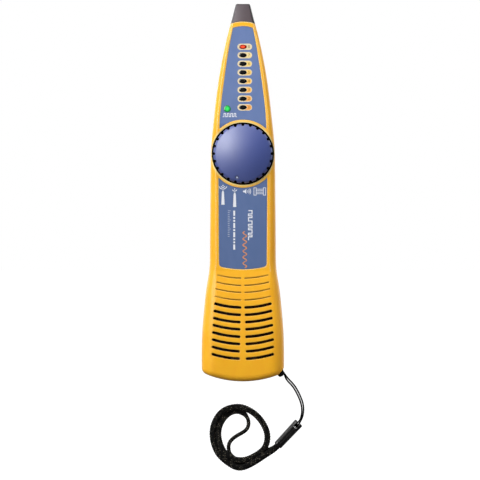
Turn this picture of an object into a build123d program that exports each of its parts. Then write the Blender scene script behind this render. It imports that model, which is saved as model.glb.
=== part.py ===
from build123d import *
import math
import os

# ---------------------------------------------------------------------------
# Tone probe wand with a wrist lanyard, in millimetres.
# Frame: +Z runs up the wand towards the tip, the front faces -Y, and +X is on
# the right when the front is looked at.  The origin is where the axis of the
# selector dial meets the flat rear face.
# ---------------------------------------------------------------------------
os.makedirs("parts", exist_ok=True)

# body
Z_TIP = 99.3            # blunt end of the sensing tip
Z_SECTION_END = -156.0  # last section of the skin, below the bowed bottom
Z_BOTTOM = -149.7       # lowest point of the bowed bottom
BOW_END = (34.0, -140.0)    # x, z where the arc of the bottom ends
Y_FACE = -29.5          # flat front face of the grip
UPPER_SLOPE = 0.1475    # the front face leans back by this much per mm above Z_KNEE
Z_KNEE = 20.0
Y_PART = -13.0          # parting plane between the two shells
SEAM = 0.08             # half of the visible seam between the shells
WALL = 2.2
BOTTOM_WALL = 2.6
CAVITY_TOP = 84.0       # no section of the hollow lies above this
THROUGH = 60.0          # extrusion that passes through the whole body

# selector dial
DIAL_R = 19.4
DIAL_RECESS_R = 20.5
DIAL_RECESS_Y = -25.8
DIAL_FLOOR_T = 1.8
DIAL_TOP_Y = -33.0
HUB_R = 5.0
HUB_CLEAR = 0.06
SHAFT_R = 3.0

# signal windows
LED_Z = [70.7, 65.1, 59.4, 53.7, 47.9, 42.1, 36.3, 30.5]
LED_W, LED_H = 5.07, 2.9
LED_PLACES = [(0, z) for z in LED_Z]
SYNC_PLACE = (-10.3, 29.6)
SYNC_D = 4.5
WINDOW_CLEAR = 0.12     # round each light guide in the shell
LABEL_CLEAR = 0.06      # round each light guide in the overlay

# overlays
LABEL_POCKET = 0.45
LABEL_T = 0.37
LABEL_GAP = 0.12        # between the overlay and the edge of its pocket
LABEL_BACK = LABEL_POCKET - 0.05    # depth of the back of the overlay

# plug of the tip that the two shells clamp
TENON_Z, TENON_Y, TENON_W, TENON_D = 82.0, -13.6, 9.0, 6.0
TENON_CLEAR = 0.1

# circuit board
PCB_FRONT, PCB_BACK = -16.0, -14.4
SOLDER_Y = PCB_FRONT - 0.02     # back of what is mounted on the board

# speaker
SPK_Z = -118.5
SPK_R = 18.0
POST_OFFSET = SPK_R + 1.1
SPK_POSTS = [(0, SPK_Z + POST_OFFSET), (0, SPK_Z - POST_OFFSET)]

# battery door
DOOR_HALF_W = 15.6
DOOR_T = 2.2
DOOR_TOP = -86.0
DOOR_END = -165.0       # cuts for the door run out below the body
DOOR_GAP = 0.15
DOOR_MID = -115.5       # middle height of the rails and tongues
TONGUE_X = DOOR_HALF_W + 1.15   # outer edge of the tongues

# lanyard pin
PIN_X, PIN_Z, PIN_R = 25.0, -144.3, 1.0
CORD_Y = -16.5


def face_y(z):
    """Y of the flat front face at height z."""
    return Y_FACE + max(0.0, z - Z_KNEE) * UPPER_SLOPE


def at_y(y):
    """Plane at the given Y: local x = X, local y = Z, normal towards the front (-Y)."""
    return Plane.XZ.offset(-y)


def mirrored(x, z):
    """The place (x, z) and its mirror image, left one first."""
    return [(-x, z), (x, z)]


def save(piece, name):
    """Label a finished piece and write its STEP file."""
    piece.part.label = name
    export_step(piece.part, f"parts/{name}.step")


def sweep_wire(points, radius):
    """Round wire swept along a spline, added to the current part."""
    with BuildLine() as run:
        Spline(*points)
    with BuildSketch(Plane(origin=run.line @ 0, z_dir=run.line % 0)) as cut:
        Circle(radius)
    sweep(cut.sketch.faces(), path=run.edges()[0])


# screws: places (x, z) in the front view
BOARD_SCREWS = mirrored(14.5, -66.0) + mirrored(7.6, 60.0)
LOWER_SCREWS = mirrored(16.4, -80.0)
UPPER_SCREW = [(0.0, 78.0)]

# key sections of the body:
# z, half width, front y, rear y, front corner radius, rear corner radius
KEY_SECTIONS = [
    (99.3, 4.55, -18.2, -9.9, 2.0, 2.4),
    (93.5, 6.06, -19.1, -8.9, 2.3, 2.8),
    (88.2, 7.51, -19.85, -8.0, 2.5, 3.2),
    (82.9, 8.96, -20.6, -7.1, 2.7, 3.5),
    (77.7, 10.34, -21.4, -6.2, 2.9, 3.8),
    (72.4, 11.53, -22.2, -5.3, 3.0, 4.2),
    (64.5, 13.20, -23.35, -3.9, 3.2, 4.8),
    (56.6, 14.70, -24.5, -2.6, 3.4, 5.4),
    (48.7, 16.00, -25.7, -1.4, 3.7, 6.0),
    (40.8, 17.10, -26.85, -0.4, 4.0, 6.5),
    (32.9, 18.05, -28.0, 0.3, 4.3, 7.0),
    (19.7, 19.45, -29.9, 0.5, 4.8, 7.8),
    (6.5, 20.75, -29.9, 0.5, 5.2, 8.4),
    (-9.3, 21.25, -29.9, 0.5, 5.5, 8.8),
    (-30.4, 21.42, -29.9, 0.5, 5.8, 9.0),
    (-51.4, 21.60, -29.9, 0.5, 6.0, 9.0),
    (-67.3, 21.70, -29.9, 0.5, 6.3, 9.0),
    (-72.5, 21.80, -29.92, 0.5, 6.5, 9.0),
    (-77.8, 22.30, -30.1, 0.5, 6.8, 9.0),
    (-83.1, 23.20, -30.5, 0.5, 7.2, 9.0),
    (-91.0, 24.40, -31.2, 0.5, 7.8, 9.2),
    (-98.9, 25.20, -31.9, 0.5, 8.2, 9.4),
    (-109.4, 26.20, -32.6, 0.5, 8.6, 9.6),
    (-119.9, 26.85, -33.0, 0.5, 8.8, 9.6),
    (-130.5, 27.07, -33.0, 0.5, 9.0, 9.6),
    (-138.4, 27.05, -32.7, 0.5, 9.0, 9.6),
    (-156.0, 26.60, -31.2, 0.5, 9.0, 9.6),
]


def section(z):
    """Section at height z, by monotone cubic interpolation of the key sections."""
    keys = KEY_SECTIONS[::-1]
    heights = [key[0] for key in keys]
    last = len(heights) - 1
    i = max(0, min(last - 1, sum(1 for height in heights if height <= z) - 1))
    row = [z]
    for column in range(1, 6):
        values = [key[column] for key in keys]
        rates = [(values[j + 1] - values[j]) / (heights[j + 1] - heights[j])
                 for j in range(last)]

        def slope(j):
            """Slope at key j: weighted harmonic mean, zero at an extreme."""
            if j == 0:
                return rates[0]
            if j == last:
                return rates[-1]
            if rates[j - 1] * rates[j] <= 0:
                return 0.0
            below = heights[j] - heights[j - 1]
            above = heights[j + 1] - heights[j]
            weight_below = 2 * above + below
            weight_above = above + 2 * below
            return ((weight_below + weight_above)
                    / (weight_below / rates[j - 1] + weight_above / rates[j]))

        step = heights[i + 1] - heights[i]
        t = (z - heights[i]) / step
        row.append((2 * t ** 3 - 3 * t ** 2 + 1) * values[i]
                   + (t ** 3 - 2 * t ** 2 + t) * slope(i) * step
                   + (-2 * t ** 3 + 3 * t ** 2) * values[i + 1]
                   + (t ** 3 - t ** 2) * slope(i + 1) * step)
    return tuple(row)


STATION_COUNT = 34      # evenly spaced, so that the skin runs smoothly
STATIONS = [section(Z_TIP - (Z_TIP - Z_SECTION_END) * k / (STATION_COUNT - 1))
            for k in range(STATION_COUNT)]

# ---------------------------------------------------------------------------
# Construction forms: the outer skin and the hollow inside it
# ---------------------------------------------------------------------------
CUT_BOTTOM = -170.0     # lower end of the cutting profiles, below the body
BOW_X, BOW_Z = BOW_END
BOTTOM_EDGE_R = 4.2

with BuildPart() as outer_form:
    for z, half_w, front_y, rear_y, front_r, rear_r in STATIONS:
        with BuildSketch(Plane.XY.offset(z)) as station:
            with Locations((0, (front_y + rear_y) / 2)):
                Rectangle(2 * half_w, rear_y - front_y)
            fillet(station.vertices().group_by(Axis.Y)[0], front_r)
            fillet(station.vertices().group_by(Axis.Y)[-1], rear_r)
    loft()
    # flat rear face at Y = 0
    with BuildSketch(Plane.YZ):
        with BuildLine():
            Polyline((0, CUT_BOTTOM), (0, 60), (10, 60), (10, CUT_BOTTOM), close=True)
        make_face()
    extrude(amount=THROUGH, both=True, mode=Mode.SUBTRACT)
    # flat front faces, the upper one leaning back
    with BuildSketch(Plane.YZ):
        with BuildLine():
            Polyline(
                (face_y(110), 110), (Y_FACE, Z_KNEE), (Y_FACE, -77),
                (Y_FACE - 2.0, -93), (-50, -93), (-50, 110), close=True,
            )
        make_face()
    extrude(amount=THROUGH, both=True, mode=Mode.SUBTRACT)
    # bowed bottom
    with BuildSketch(Plane.XZ):
        with BuildLine():
            ThreePointArc((-BOW_X, BOW_Z), (0, Z_BOTTOM), (BOW_X, BOW_Z))
            Polyline((BOW_X, BOW_Z), (BOW_X, CUT_BOTTOM), (-BOW_X, CUT_BOTTOM),
                     (-BOW_X, BOW_Z))
        make_face()
    extrude(amount=THROUGH, both=True, mode=Mode.SUBTRACT)
    fillet(outer_form.faces().sort_by(Axis.Z)[0].edges(), BOTTOM_EDGE_R)

CAVITY_DEPTH_LOSS = 2 * WALL + 0.9      # the front and rear walls together
CAVITY_BOW_Z = BOW_Z + BOTTOM_WALL

with BuildPart() as inner_form:
    for z, half_w, front_y, rear_y, front_r, rear_r in STATIONS:
        if z > CAVITY_TOP:
            continue
        with BuildSketch(Plane.XY.offset(z)) as station:
            with Locations((0, (front_y + rear_y) / 2)):
                Rectangle(2 * (half_w - WALL), rear_y - front_y - CAVITY_DEPTH_LOSS)
            fillet(station.vertices().group_by(Axis.Y)[0], front_r - 1.6)
            fillet(station.vertices().group_by(Axis.Y)[-1], rear_r - 1.9)
    loft()
    with BuildSketch(Plane.XZ):
        with BuildLine():
            ThreePointArc((-BOW_X, CAVITY_BOW_Z), (0, Z_BOTTOM + BOTTOM_WALL),
                          (BOW_X, CAVITY_BOW_Z))
            Polyline((BOW_X, CAVITY_BOW_Z), (BOW_X, CUT_BOTTOM), (-BOW_X, CUT_BOTTOM),
                     (-BOW_X, CAVITY_BOW_Z))
        make_face()
    extrude(amount=THROUGH, both=True, mode=Mode.SUBTRACT)

# everything above the arched joint line belongs to the tip
JOINT_X, JOINT_SIDE_Z, JOINT_MID_Z = 11.0, 84.6, 87.5

with BuildPart() as tip_zone:
    with BuildSketch(Plane.XZ):
        with BuildLine():
            ThreePointArc((-JOINT_X, JOINT_SIDE_Z), (0, JOINT_MID_Z), (JOINT_X, JOINT_SIDE_Z))
            Polyline((JOINT_X, JOINT_SIDE_Z), (JOINT_X, 110), (-JOINT_X, 110),
                     (-JOINT_X, JOINT_SIDE_Z))
        make_face()
    extrude(amount=THROUGH, both=True)

# outline (x, z) of the lanyard anchor in the lower right corner
ANCHOR = [(26.3, -141.6), (26.9, -143.2), (26.8, -145.0), (25.9, -146.3),
          (24.3, -146.9), (23.0, -145.9), (19.6, -141.6), (22.6, -138.4)]
ANCHOR_BACK_Y, ANCHOR_DEPTH = -8.0, 18.0
ANCHOR_CLEAR = 0.08

with BuildPart() as anchor_zone:
    with BuildSketch(at_y(ANCHOR_BACK_Y)):
        with BuildLine():
            Polyline(*ANCHOR, close=True)
        make_face()
        offset(amount=ANCHOR_CLEAR)
    extrude(amount=ANCHOR_DEPTH)
    # the shell corner itself is cut away through the whole depth
    with BuildSketch(at_y(10.0)):
        with BuildLine():
            Polyline((26.35, -141.7), (40, -126), (40, -165), (10, -161), (23.0, -145.65),
                     close=True)
        make_face()
    extrude(amount=THROUGH)

# ---------------------------------------------------------------------------
# Outlines of the overlays and of the slots in the speaker end
# ---------------------------------------------------------------------------
LABEL_ARC_R = 22.5      # both overlays end on this circle round the dial
# side of the upper overlay from the top down: z, half width
UPPER_LABEL_EDGE = [(83.1, 6.45), (73.4, 8.45), (61.5, 10.35), (49.5, 12.1), (38.8, 13.5),
                    (27.0, 14.75)]
UPPER_LABEL_BOTTOM_X = 15.25
UPPER_LABEL_CREST_Z = 84.3
LOWER_LABEL_TOP_X = 15.9
LOWER_LABEL_SIDE_X = 15.5
LOWER_LABEL_BOTTOM_Z = -75.9
CORNER_Z, CORNER_R, CORNER_SWEEP = -72.05, 2.4, 78      # rounded lower corners


def upper_label_outline(grow):
    """Upper overlay: arched top, curved sides, bottom concentric with the dial."""
    arc_r = LABEL_ARC_R - grow
    low_x = UPPER_LABEL_BOTTOM_X + grow
    low_z = math.sqrt(arc_r * arc_r - low_x * low_x)
    right = [(half_w + grow, z) for z, half_w in UPPER_LABEL_EDGE] + [(low_x, low_z)]
    right[0] = (right[0][0], right[0][1] + grow)
    left = [(-x, z) for x, z in right]
    with BuildLine() as rim:
        Spline(*right)
        ThreePointArc(right[-1], (0, arc_r), left[-1])
        Spline(*reversed(left))
        ThreePointArc(left[0], (0, UPPER_LABEL_CREST_Z + grow), right[0])
    make_face(rim.edges())


def lower_label_outline(grow):
    """Lower overlay: top concentric with the dial, bottom bowed, lower corners rounded."""
    arc_r = LABEL_ARC_R - grow
    top_x = LOWER_LABEL_TOP_X + grow
    top_z = -math.sqrt(arc_r * arc_r - top_x * top_x)
    side_x = LOWER_LABEL_SIDE_X + grow
    corner_r = CORNER_R + grow

    def on_corner(degrees):
        """Point of the right corner arc, this far below its horizontal radius."""
        angle = math.radians(degrees)
        return (LOWER_LABEL_SIDE_X - CORNER_R + corner_r * math.cos(angle),
                CORNER_Z - corner_r * math.sin(angle))

    mid = on_corner(CORNER_SWEEP / 2)
    low = on_corner(CORNER_SWEEP)
    with BuildLine() as rim:
        ThreePointArc((-top_x, top_z), (0, -arc_r), (top_x, top_z))
        Line((top_x, top_z), (side_x, CORNER_Z))
        ThreePointArc((side_x, CORNER_Z), mid, low)
        ThreePointArc(low, (0, LOWER_LABEL_BOTTOM_Z - grow), (-low[0], low[1]))
        ThreePointArc((-low[0], low[1]), (-mid[0], mid[1]), (-side_x, CORNER_Z))
        Line((-side_x, CORNER_Z), (-top_x, top_z))
    make_face(rim.edges())


def face_band(near, far):
    """Side view (y, z) of a slab between two depths below the front face."""
    return [(face_y(88) + near, 88), (Y_FACE + near, Z_KNEE), (Y_FACE + near, 10),
            (Y_FACE + far, 10), (Y_FACE + far, Z_KNEE), (face_y(88) + far, 88)]


with BuildPart() as upper_pocket:
    with BuildSketch(Plane.YZ):
        with BuildLine():
            Polyline(*face_band(-3.0, LABEL_POCKET), close=True)
        make_face()
    extrude(amount=30, both=True)
    with BuildSketch(at_y(0)):
        upper_label_outline(LABEL_GAP)
    extrude(amount=40, mode=Mode.INTERSECT)

# centre lines of the arc slots: outer end x, outer end z, inner end x
GRILLE_SLOTS = [
    (18.0, -98.6, 1.85), (18.4, -103.3, 2.1), (18.7, -108.0, 2.3), (19.0, -112.6, 2.4),
    (19.3, -117.4, 2.5), (19.5, -122.1, 2.6), (19.6, -126.9, 2.8), (19.6, -131.7, 2.8),
]
# blind grooves above the grille: the same columns, then the y of the skin there
GROOVES = [(16.4, -79.8, 1.3, -29.55), (17.0, -84.4, 1.35, -30.0),
           (17.6, -88.8, 1.4, -30.6), (18.2, -93.6, 1.4, -31.1)]
SLOT_W, GROOVE_W = 1.78, 0.62
GROOVE_DEPTH = 0.15
SLOT_R = 67.0           # radius of all slot centre lines


def slot_pair(outer_x, outer_z, inner_x, width):
    """Two mirror-image arc slots with round ends."""
    centre_z = outer_z + math.sqrt(SLOT_R ** 2 - outer_x ** 2)
    outer_angle = math.degrees(math.asin(outer_x / SLOT_R))
    inner_angle = math.degrees(math.asin(inner_x / SLOT_R))
    for start in (-90 + inner_angle, -90 - outer_angle):
        with BuildLine() as centre:
            CenterArc((0, centre_z), SLOT_R, start, outer_angle - inner_angle)
        SlotArc(centre.edges()[0], width)


# ---------------------------------------------------------------------------
# Front shell
# ---------------------------------------------------------------------------
with BuildPart() as front_housing:
    add(outer_form.part)
    add(inner_form.part, mode=Mode.SUBTRACT)
    split(bisect_by=at_y(Y_PART - SEAM), keep=Keep.TOP)
    add(tip_zone.part, mode=Mode.SUBTRACT)
    # floor of the dial recess
    with BuildSketch(at_y(DIAL_RECESS_Y + DIAL_FLOOR_T)):
        Circle(DIAL_RECESS_R + 1.2)
    extrude(amount=DIAL_FLOOR_T)
    # board and case screw bosses, joined to the inside of the front wall
    with BuildSketch(at_y(PCB_FRONT - 0.05)):
        with Locations(*BOARD_SCREWS):
            Circle(2.1)
    extrude(amount=12.0)
    with BuildSketch(at_y(Y_PART - SEAM)):
        with Locations(*LOWER_SCREWS):
            Circle(3.1)
        with Locations(*UPPER_SCREW):
            Circle(2.6)
    extrude(amount=17.0)
    # two posts above and below the speaker
    with BuildSketch(at_y(-25.5)):
        with Locations(*SPK_POSTS):
            Circle(0.9)
    extrude(amount=7.0)
    # trim what now stands proud of the skin
    add(outer_form.part, mode=Mode.INTERSECT)
    # dial recess and hub bearing
    with BuildSketch(at_y(DIAL_RECESS_Y)):
        Circle(DIAL_RECESS_R)
    extrude(amount=15, mode=Mode.SUBTRACT)
    with BuildSketch(at_y(-20)):
        Circle(HUB_R + HUB_CLEAR)
    extrude(amount=10, mode=Mode.SUBTRACT)
    # overlay pockets
    add(upper_pocket.part, mode=Mode.SUBTRACT)
    with BuildSketch(at_y(Y_FACE + LABEL_POCKET)):
        lower_label_outline(LABEL_GAP)
    extrude(amount=5, mode=Mode.SUBTRACT)
    # windows for the light guides
    with BuildSketch(at_y(Y_PART)):
        with Locations(*LED_PLACES):
            Ellipse(LED_W / 2 + WINDOW_CLEAR, LED_H / 2 + WINDOW_CLEAR)
        with Locations(SYNC_PLACE):
            Circle(SYNC_D / 2 + WINDOW_CLEAR)
    extrude(amount=25, mode=Mode.SUBTRACT)
    # speaker grille
    with BuildSketch(at_y(-27.0)):
        for outer_x, outer_z, inner_x in GRILLE_SLOTS:
            slot_pair(outer_x, outer_z, inner_x, SLOT_W)
    extrude(amount=10, mode=Mode.SUBTRACT)
    # blind grooves above the grille
    for outer_x, outer_z, inner_x, skin_y in GROOVES:
        with BuildSketch(at_y(skin_y + GROOVE_DEPTH)):
            slot_pair(outer_x, outer_z, inner_x, GROOVE_W)
        extrude(amount=6, mode=Mode.SUBTRACT)
    # screw pilots
    with BuildSketch(at_y(Y_PART)):
        with Locations(*BOARD_SCREWS):
            Circle(0.85)
        with Locations(*LOWER_SCREWS):
            Circle(1.25)
    extrude(amount=10.5, mode=Mode.SUBTRACT)
    with BuildSketch(at_y(Y_PART)):
        with Locations(*UPPER_SCREW):
            Circle(1.05)
    extrude(amount=5.2, mode=Mode.SUBTRACT)
    # seat of the tip's tenon
    with BuildSketch(Plane.XY.offset(TENON_Z - TENON_CLEAR)):
        with Locations((0, TENON_Y)):
            Rectangle(TENON_W + TENON_CLEAR, TENON_D + TENON_CLEAR)
    extrude(amount=8.0, mode=Mode.SUBTRACT)
    # lanyard anchor seat
    add(anchor_zone.part, mode=Mode.SUBTRACT)
save(front_housing, "front_housing")

# ---------------------------------------------------------------------------
# Rear shell, open at the bottom for the sliding battery door
# ---------------------------------------------------------------------------
BAT_W, BAT_D, BAT_L = 26.5, 17.5, 48.5      # 9 V block
RIB_X = BAT_W / 2 + 1.95
OPENING_TOP = DOOR_TOP + DOOR_GAP
OPENING_L = OPENING_TOP - DOOR_END
OPENING_MID = (OPENING_TOP + DOOR_END) / 2

with BuildPart() as rear_housing:
    add(outer_form.part)
    add(inner_form.part, mode=Mode.SUBTRACT)
    split(bisect_by=at_y(Y_PART + SEAM), keep=Keep.BOTTOM)
    add(tip_zone.part, mode=Mode.SUBTRACT)
    # screw pillars
    with BuildSketch(at_y(Y_PART + SEAM)):
        with Locations(*LOWER_SCREWS):
            Circle(3.3)
        with Locations(*UPPER_SCREW):
            Circle(3.1)
    extrude(amount=-14.0)
    # rails beside the door
    with BuildSketch(at_y(-4.7)):
        with Locations(*mirrored(DOOR_HALF_W + 1.9, DOOR_MID)):
            Rectangle(3.5, 62.0)
    extrude(amount=-3.0)
    # two pairs of ribs that hold the battery sideways
    with BuildSketch(at_y(Y_PART + SEAM)):
        with Locations(*mirrored(RIB_X, -104.0), *mirrored(RIB_X, -134.0)):
            Rectangle(3.4, 8.0)
    extrude(amount=-8.8)
    add(outer_form.part, mode=Mode.INTERSECT)
    # counterbored screw holes
    with BuildSketch(at_y(5.0)):
        with Locations(*LOWER_SCREWS):
            Circle(2.6)
    extrude(amount=10.5, mode=Mode.SUBTRACT)
    with BuildSketch(at_y(5.0)):
        with Locations(*UPPER_SCREW):
            Circle(2.15)
    extrude(amount=14.2, mode=Mode.SUBTRACT)
    with BuildSketch(at_y(5.0)):
        with Locations(*LOWER_SCREWS):
            Circle(1.4)
        with Locations(*UPPER_SCREW):
            Circle(1.15)
    extrude(amount=20.0, mode=Mode.SUBTRACT)
    # door opening, running out at the bottom
    with BuildSketch(at_y(-2.35)):
        with Locations((0, OPENING_MID)):
            Rectangle(2 * (DOOR_HALF_W + DOOR_GAP), OPENING_L)
    extrude(amount=-10.0, mode=Mode.SUBTRACT)
    # rail grooves
    with BuildSketch(at_y(-3.45)):
        with Locations((0, OPENING_MID)):
            Rectangle(2 * (TONGUE_X + 0.12), OPENING_L)
    extrude(amount=-1.22, mode=Mode.SUBTRACT)
    # seats of the tenon and of the lanyard anchor
    with BuildSketch(Plane.XY.offset(TENON_Z - TENON_CLEAR)):
        with Locations((0, TENON_Y)):
            Rectangle(TENON_W + TENON_CLEAR, TENON_D + TENON_CLEAR)
    extrude(amount=8.0, mode=Mode.SUBTRACT)
    add(anchor_zone.part, mode=Mode.SUBTRACT)
save(rear_housing, "rear_housing")

# ---------------------------------------------------------------------------
# Battery door: slides down out of its rails
# ---------------------------------------------------------------------------
TONGUE_INNER_X = 13.6
TONGUE_L = 55.0
TONGUE_Y = -3.35        # front of the tongues and of the catch lip
LIP_W = 10.0
# places in y, outer edge and thickness of the two layers of each tongue
TONGUE_LAYERS = [(TONGUE_Y, TONGUE_X, 1.02), (-2.33, DOOR_HALF_W, 0.6)]
# y, drop of the middle below the door top, height and thickness of the lip layers
LIP_LAYERS = [(TONGUE_Y, 1.0, 5.0, 0.95), (-2.45, 2.0, 3.0, 0.6)]
GRIP_TOP, GRIP_PITCH, GRIP_COUNT = -93.5, 2.1, 6

with BuildPart() as battery_door:
    add(outer_form.part)
    with BuildSketch(at_y(-DOOR_T)):
        with Locations((0, (DOOR_TOP + DOOR_END) / 2)):
            Rectangle(2 * DOOR_HALF_W, DOOR_TOP - DOOR_END)
    extrude(amount=-10.0, mode=Mode.INTERSECT)
    # tongues that ride in the rails
    for layer_y, outer_x, thickness in TONGUE_LAYERS:
        with BuildSketch(at_y(layer_y)):
            with Locations(*mirrored((outer_x + TONGUE_INNER_X) / 2, DOOR_MID)):
                Rectangle(outer_x - TONGUE_INNER_X, TONGUE_L)
        extrude(amount=-thickness)
    # catch lip under the edge of the shell
    for layer_y, drop, height, thickness in LIP_LAYERS:
        with BuildSketch(at_y(layer_y)):
            with Locations((0, DOOR_TOP - drop)):
                Rectangle(LIP_W, height)
        extrude(amount=-thickness)
    # thumb grip: shallow cross grooves in the rear face
    with BuildSketch(at_y(-0.55)):
        with Locations(*[(0, GRIP_TOP - GRIP_PITCH * k) for k in range(GRIP_COUNT)]):
            SlotOverall(15.0, 1.1)
    extrude(amount=-3.0, mode=Mode.SUBTRACT)
save(battery_door, "battery_door")

# ---------------------------------------------------------------------------
# Sensing tip and what it holds
# ---------------------------------------------------------------------------
ANTENNA_R, ANTENNA_BORE_R = 1.0, 1.1

with BuildPart() as probe_tip:
    add(outer_form.part)
    add(tip_zone.part, mode=Mode.INTERSECT)
    fillet(probe_tip.faces().sort_by(Axis.Z)[-1].edges(), 0.9)
    with BuildSketch(Plane.XY.offset(TENON_Z)):
        with Locations((0, TENON_Y)):
            RectangleRounded(TENON_W, TENON_D, 0.6)
    extrude(amount=6.4)
    with BuildSketch(Plane.XY.offset(TENON_Z - 1)):
        with Locations((0, TENON_Y)):
            Circle(ANTENNA_BORE_R)
    extrude(amount=15.0, mode=Mode.SUBTRACT)
save(probe_tip, "probe_tip")

with BuildPart() as pickup_antenna:
    with BuildSketch(Plane.XY.offset(TENON_Z - 0.4)):
        with Locations((0, TENON_Y)):
            Circle(ANTENNA_R)
    extrude(amount=14.0)
save(pickup_antenna, "pickup_antenna")

# route of the lead from the antenna to the back of the board
ANTENNA_LEAD = [(0, TENON_Y, 81.1), (2.2, -13.7, 80.8), (4.2, -13.9, 78.5),
                (4.4, -13.2, 74.5), (3.6, -13.3, 71.6), (3.4, -14.36, 70.6)]

with BuildPart() as antenna_lead:
    sweep_wire(ANTENNA_LEAD, 0.35)
save(antenna_lead, "antenna_lead")

# ---------------------------------------------------------------------------
# Printed overlays
# ---------------------------------------------------------------------------
with BuildPart() as upper_label:
    with BuildSketch(Plane.YZ):
        with BuildLine():
            Polyline(*face_band(LABEL_BACK - LABEL_T, LABEL_BACK), close=True)
        make_face()
    extrude(amount=30, both=True)
    with BuildSketch(at_y(0)):
        upper_label_outline(0.0)
    extrude(amount=40, mode=Mode.INTERSECT)
    with BuildSketch(at_y(-15)):
        with Locations(*LED_PLACES):
            Ellipse(LED_W / 2 + LABEL_CLEAR, LED_H / 2 + LABEL_CLEAR)
        with Locations(SYNC_PLACE):
            Circle(SYNC_D / 2 + LABEL_CLEAR)
    extrude(amount=20, mode=Mode.SUBTRACT)
save(upper_label, "upper_label")

with BuildPart() as lower_label:
    with BuildSketch(at_y(Y_FACE + LABEL_BACK)):
        lower_label_outline(0.0)
    extrude(amount=LABEL_T)
save(lower_label, "lower_label")

# ---------------------------------------------------------------------------
# Light guides of the signal windows; their ends follow the leaning face
# ---------------------------------------------------------------------------
GUIDE_BACK_Y = -17.25
GUIDE_STOCK = 15        # length before the front end is cut to the face
GUIDE_PROUD = 0.12      # how far the front end stands out of the face

# everything in front of the ends of the guides
with BuildPart() as window_cut:
    with BuildSketch(Plane.YZ):
        with BuildLine():
            Polyline((face_y(100) - GUIDE_PROUD, 100), (Y_FACE - GUIDE_PROUD, Z_KNEE),
                     (Y_FACE - GUIDE_PROUD, 0), (-50, 0), (-50, 100), close=True)
        make_face()
    extrude(amount=30, both=True)


def led_guides(places, edge_r=0.0):
    """Elliptical light guides; edge_r rounds the front end of a single one."""
    with BuildPart() as guides:
        with BuildSketch(at_y(GUIDE_BACK_Y)):
            with Locations(*places):
                Ellipse(LED_W / 2, LED_H / 2)
        extrude(amount=GUIDE_STOCK)
        add(window_cut.part, mode=Mode.SUBTRACT)
        if edge_r:
            fillet(guides.faces().sort_by(Axis.Y)[0].edges(), edge_r)
    return guides


save(led_guides(LED_PLACES[:1], edge_r=0.3), "led_window_red")
save(led_guides(LED_PLACES[1:]), "led_windows")

with BuildPart() as sync_window:
    with BuildSketch(at_y(GUIDE_BACK_Y)):
        with Locations(SYNC_PLACE):
            Circle(SYNC_D / 2)
    extrude(amount=GUIDE_STOCK)
    add(window_cut.part, mode=Mode.SUBTRACT)
    fillet(sync_window.faces().sort_by(Axis.Y)[0].edges(), 0.4)
save(sync_window, "sync_window")

# ---------------------------------------------------------------------------
# Circuit board and what is mounted on it
# ---------------------------------------------------------------------------
# right-hand edge of the board (x, z), from the top down
PCB_EDGE = [(4.8, 74.3), (10.2, 60), (13.4, 42), (15.4, 20), (16.4, 0), (16.8, -30),
            (16.8, -73.5)]

with BuildPart() as main_pcb:
    with BuildSketch(at_y(PCB_BACK)):
        with BuildLine():
            Polyline(*PCB_EDGE, *[(-x, z) for x, z in reversed(PCB_EDGE)], close=True)
        make_face()
        with Locations(*BOARD_SCREWS):
            Circle(1.1, mode=Mode.SUBTRACT)
    extrude(amount=PCB_BACK - PCB_FRONT)
save(main_pcb, "main_pcb")

BOARD_SCREW_HEAD_R, BOARD_SCREW_SHANK_R = 1.6, 0.8

with BuildPart() as pcb_screws:
    # slotted rear half of the heads
    with BuildSketch(at_y(PCB_BACK + 1.0)):
        with Locations(*BOARD_SCREWS):
            Circle(BOARD_SCREW_HEAD_R)
            RectangleRounded(1.9, 0.5, 0.1, mode=Mode.SUBTRACT)
    extrude(amount=0.5)
    # solid front half of the heads
    with BuildSketch(at_y(PCB_BACK + 0.5)):
        with Locations(*BOARD_SCREWS):
            Circle(BOARD_SCREW_HEAD_R)
    extrude(amount=0.48)
    with BuildSketch(at_y(PCB_BACK + 0.3)):
        with Locations(*BOARD_SCREWS):
            Circle(BOARD_SCREW_SHANK_R)
    extrude(amount=6.0)
save(pcb_screws, "pcb_screws")


def led_packages(places):
    """Small rectangular LEDs on the front of the board."""
    with BuildPart() as leds:
        with BuildSketch(at_y(SOLDER_Y)):
            with Locations(*places):
                RectangleRounded(3.2, 1.6, 0.2)
        extrude(amount=1.1)
    return leds


save(led_packages(LED_PLACES), "signal_leds")
save(led_packages([SYNC_PLACE]), "sync_led")


def chip(place, width, height, thickness, lead_grids):
    """Chip with flat leads; a grid is x pitch, z pitch, columns, rows, lead width, height."""
    with BuildPart() as package:
        with BuildSketch(at_y(PCB_FRONT - 0.25)):
            with Locations(place):
                Rectangle(width, height)
        extrude(amount=thickness)
        with BuildSketch(at_y(SOLDER_Y)):
            with Locations(place):
                for pitch_x, pitch_z, columns, rows, lead_w, lead_h in lead_grids:
                    with GridLocations(pitch_x, pitch_z, columns, rows):
                        Rectangle(lead_w, lead_h)
        extrude(amount=0.6)
    return package


processor_chip = chip(
    place=(0, -36), width=10.0, height=10.0, thickness=1.4,
    lead_grids=[(11.4, 1.25, 2, 8, 1.6, 0.45), (1.25, 11.4, 8, 2, 0.45, 1.6)],
)
save(processor_chip, "processor_chip")

amplifier_chip = chip(
    place=(4.0, -60), width=4.0, height=8.6, thickness=1.5,
    lead_grids=[(5.2, 1.27, 2, 6, 1.3, 0.45)],
)
save(amplifier_chip, "amplifier_chip")

with BuildPart() as crystal_can:
    with BuildSketch(at_y(SOLDER_Y)):
        with Locations((-10.0, -36)):
            SlotOverall(10.0, 4.2, rotation=90)
    extrude(amount=3.2)
    fillet(crystal_can.faces().sort_by(Axis.Y)[0].edges(), 0.5)
save(crystal_can, "crystal_can")

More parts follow.
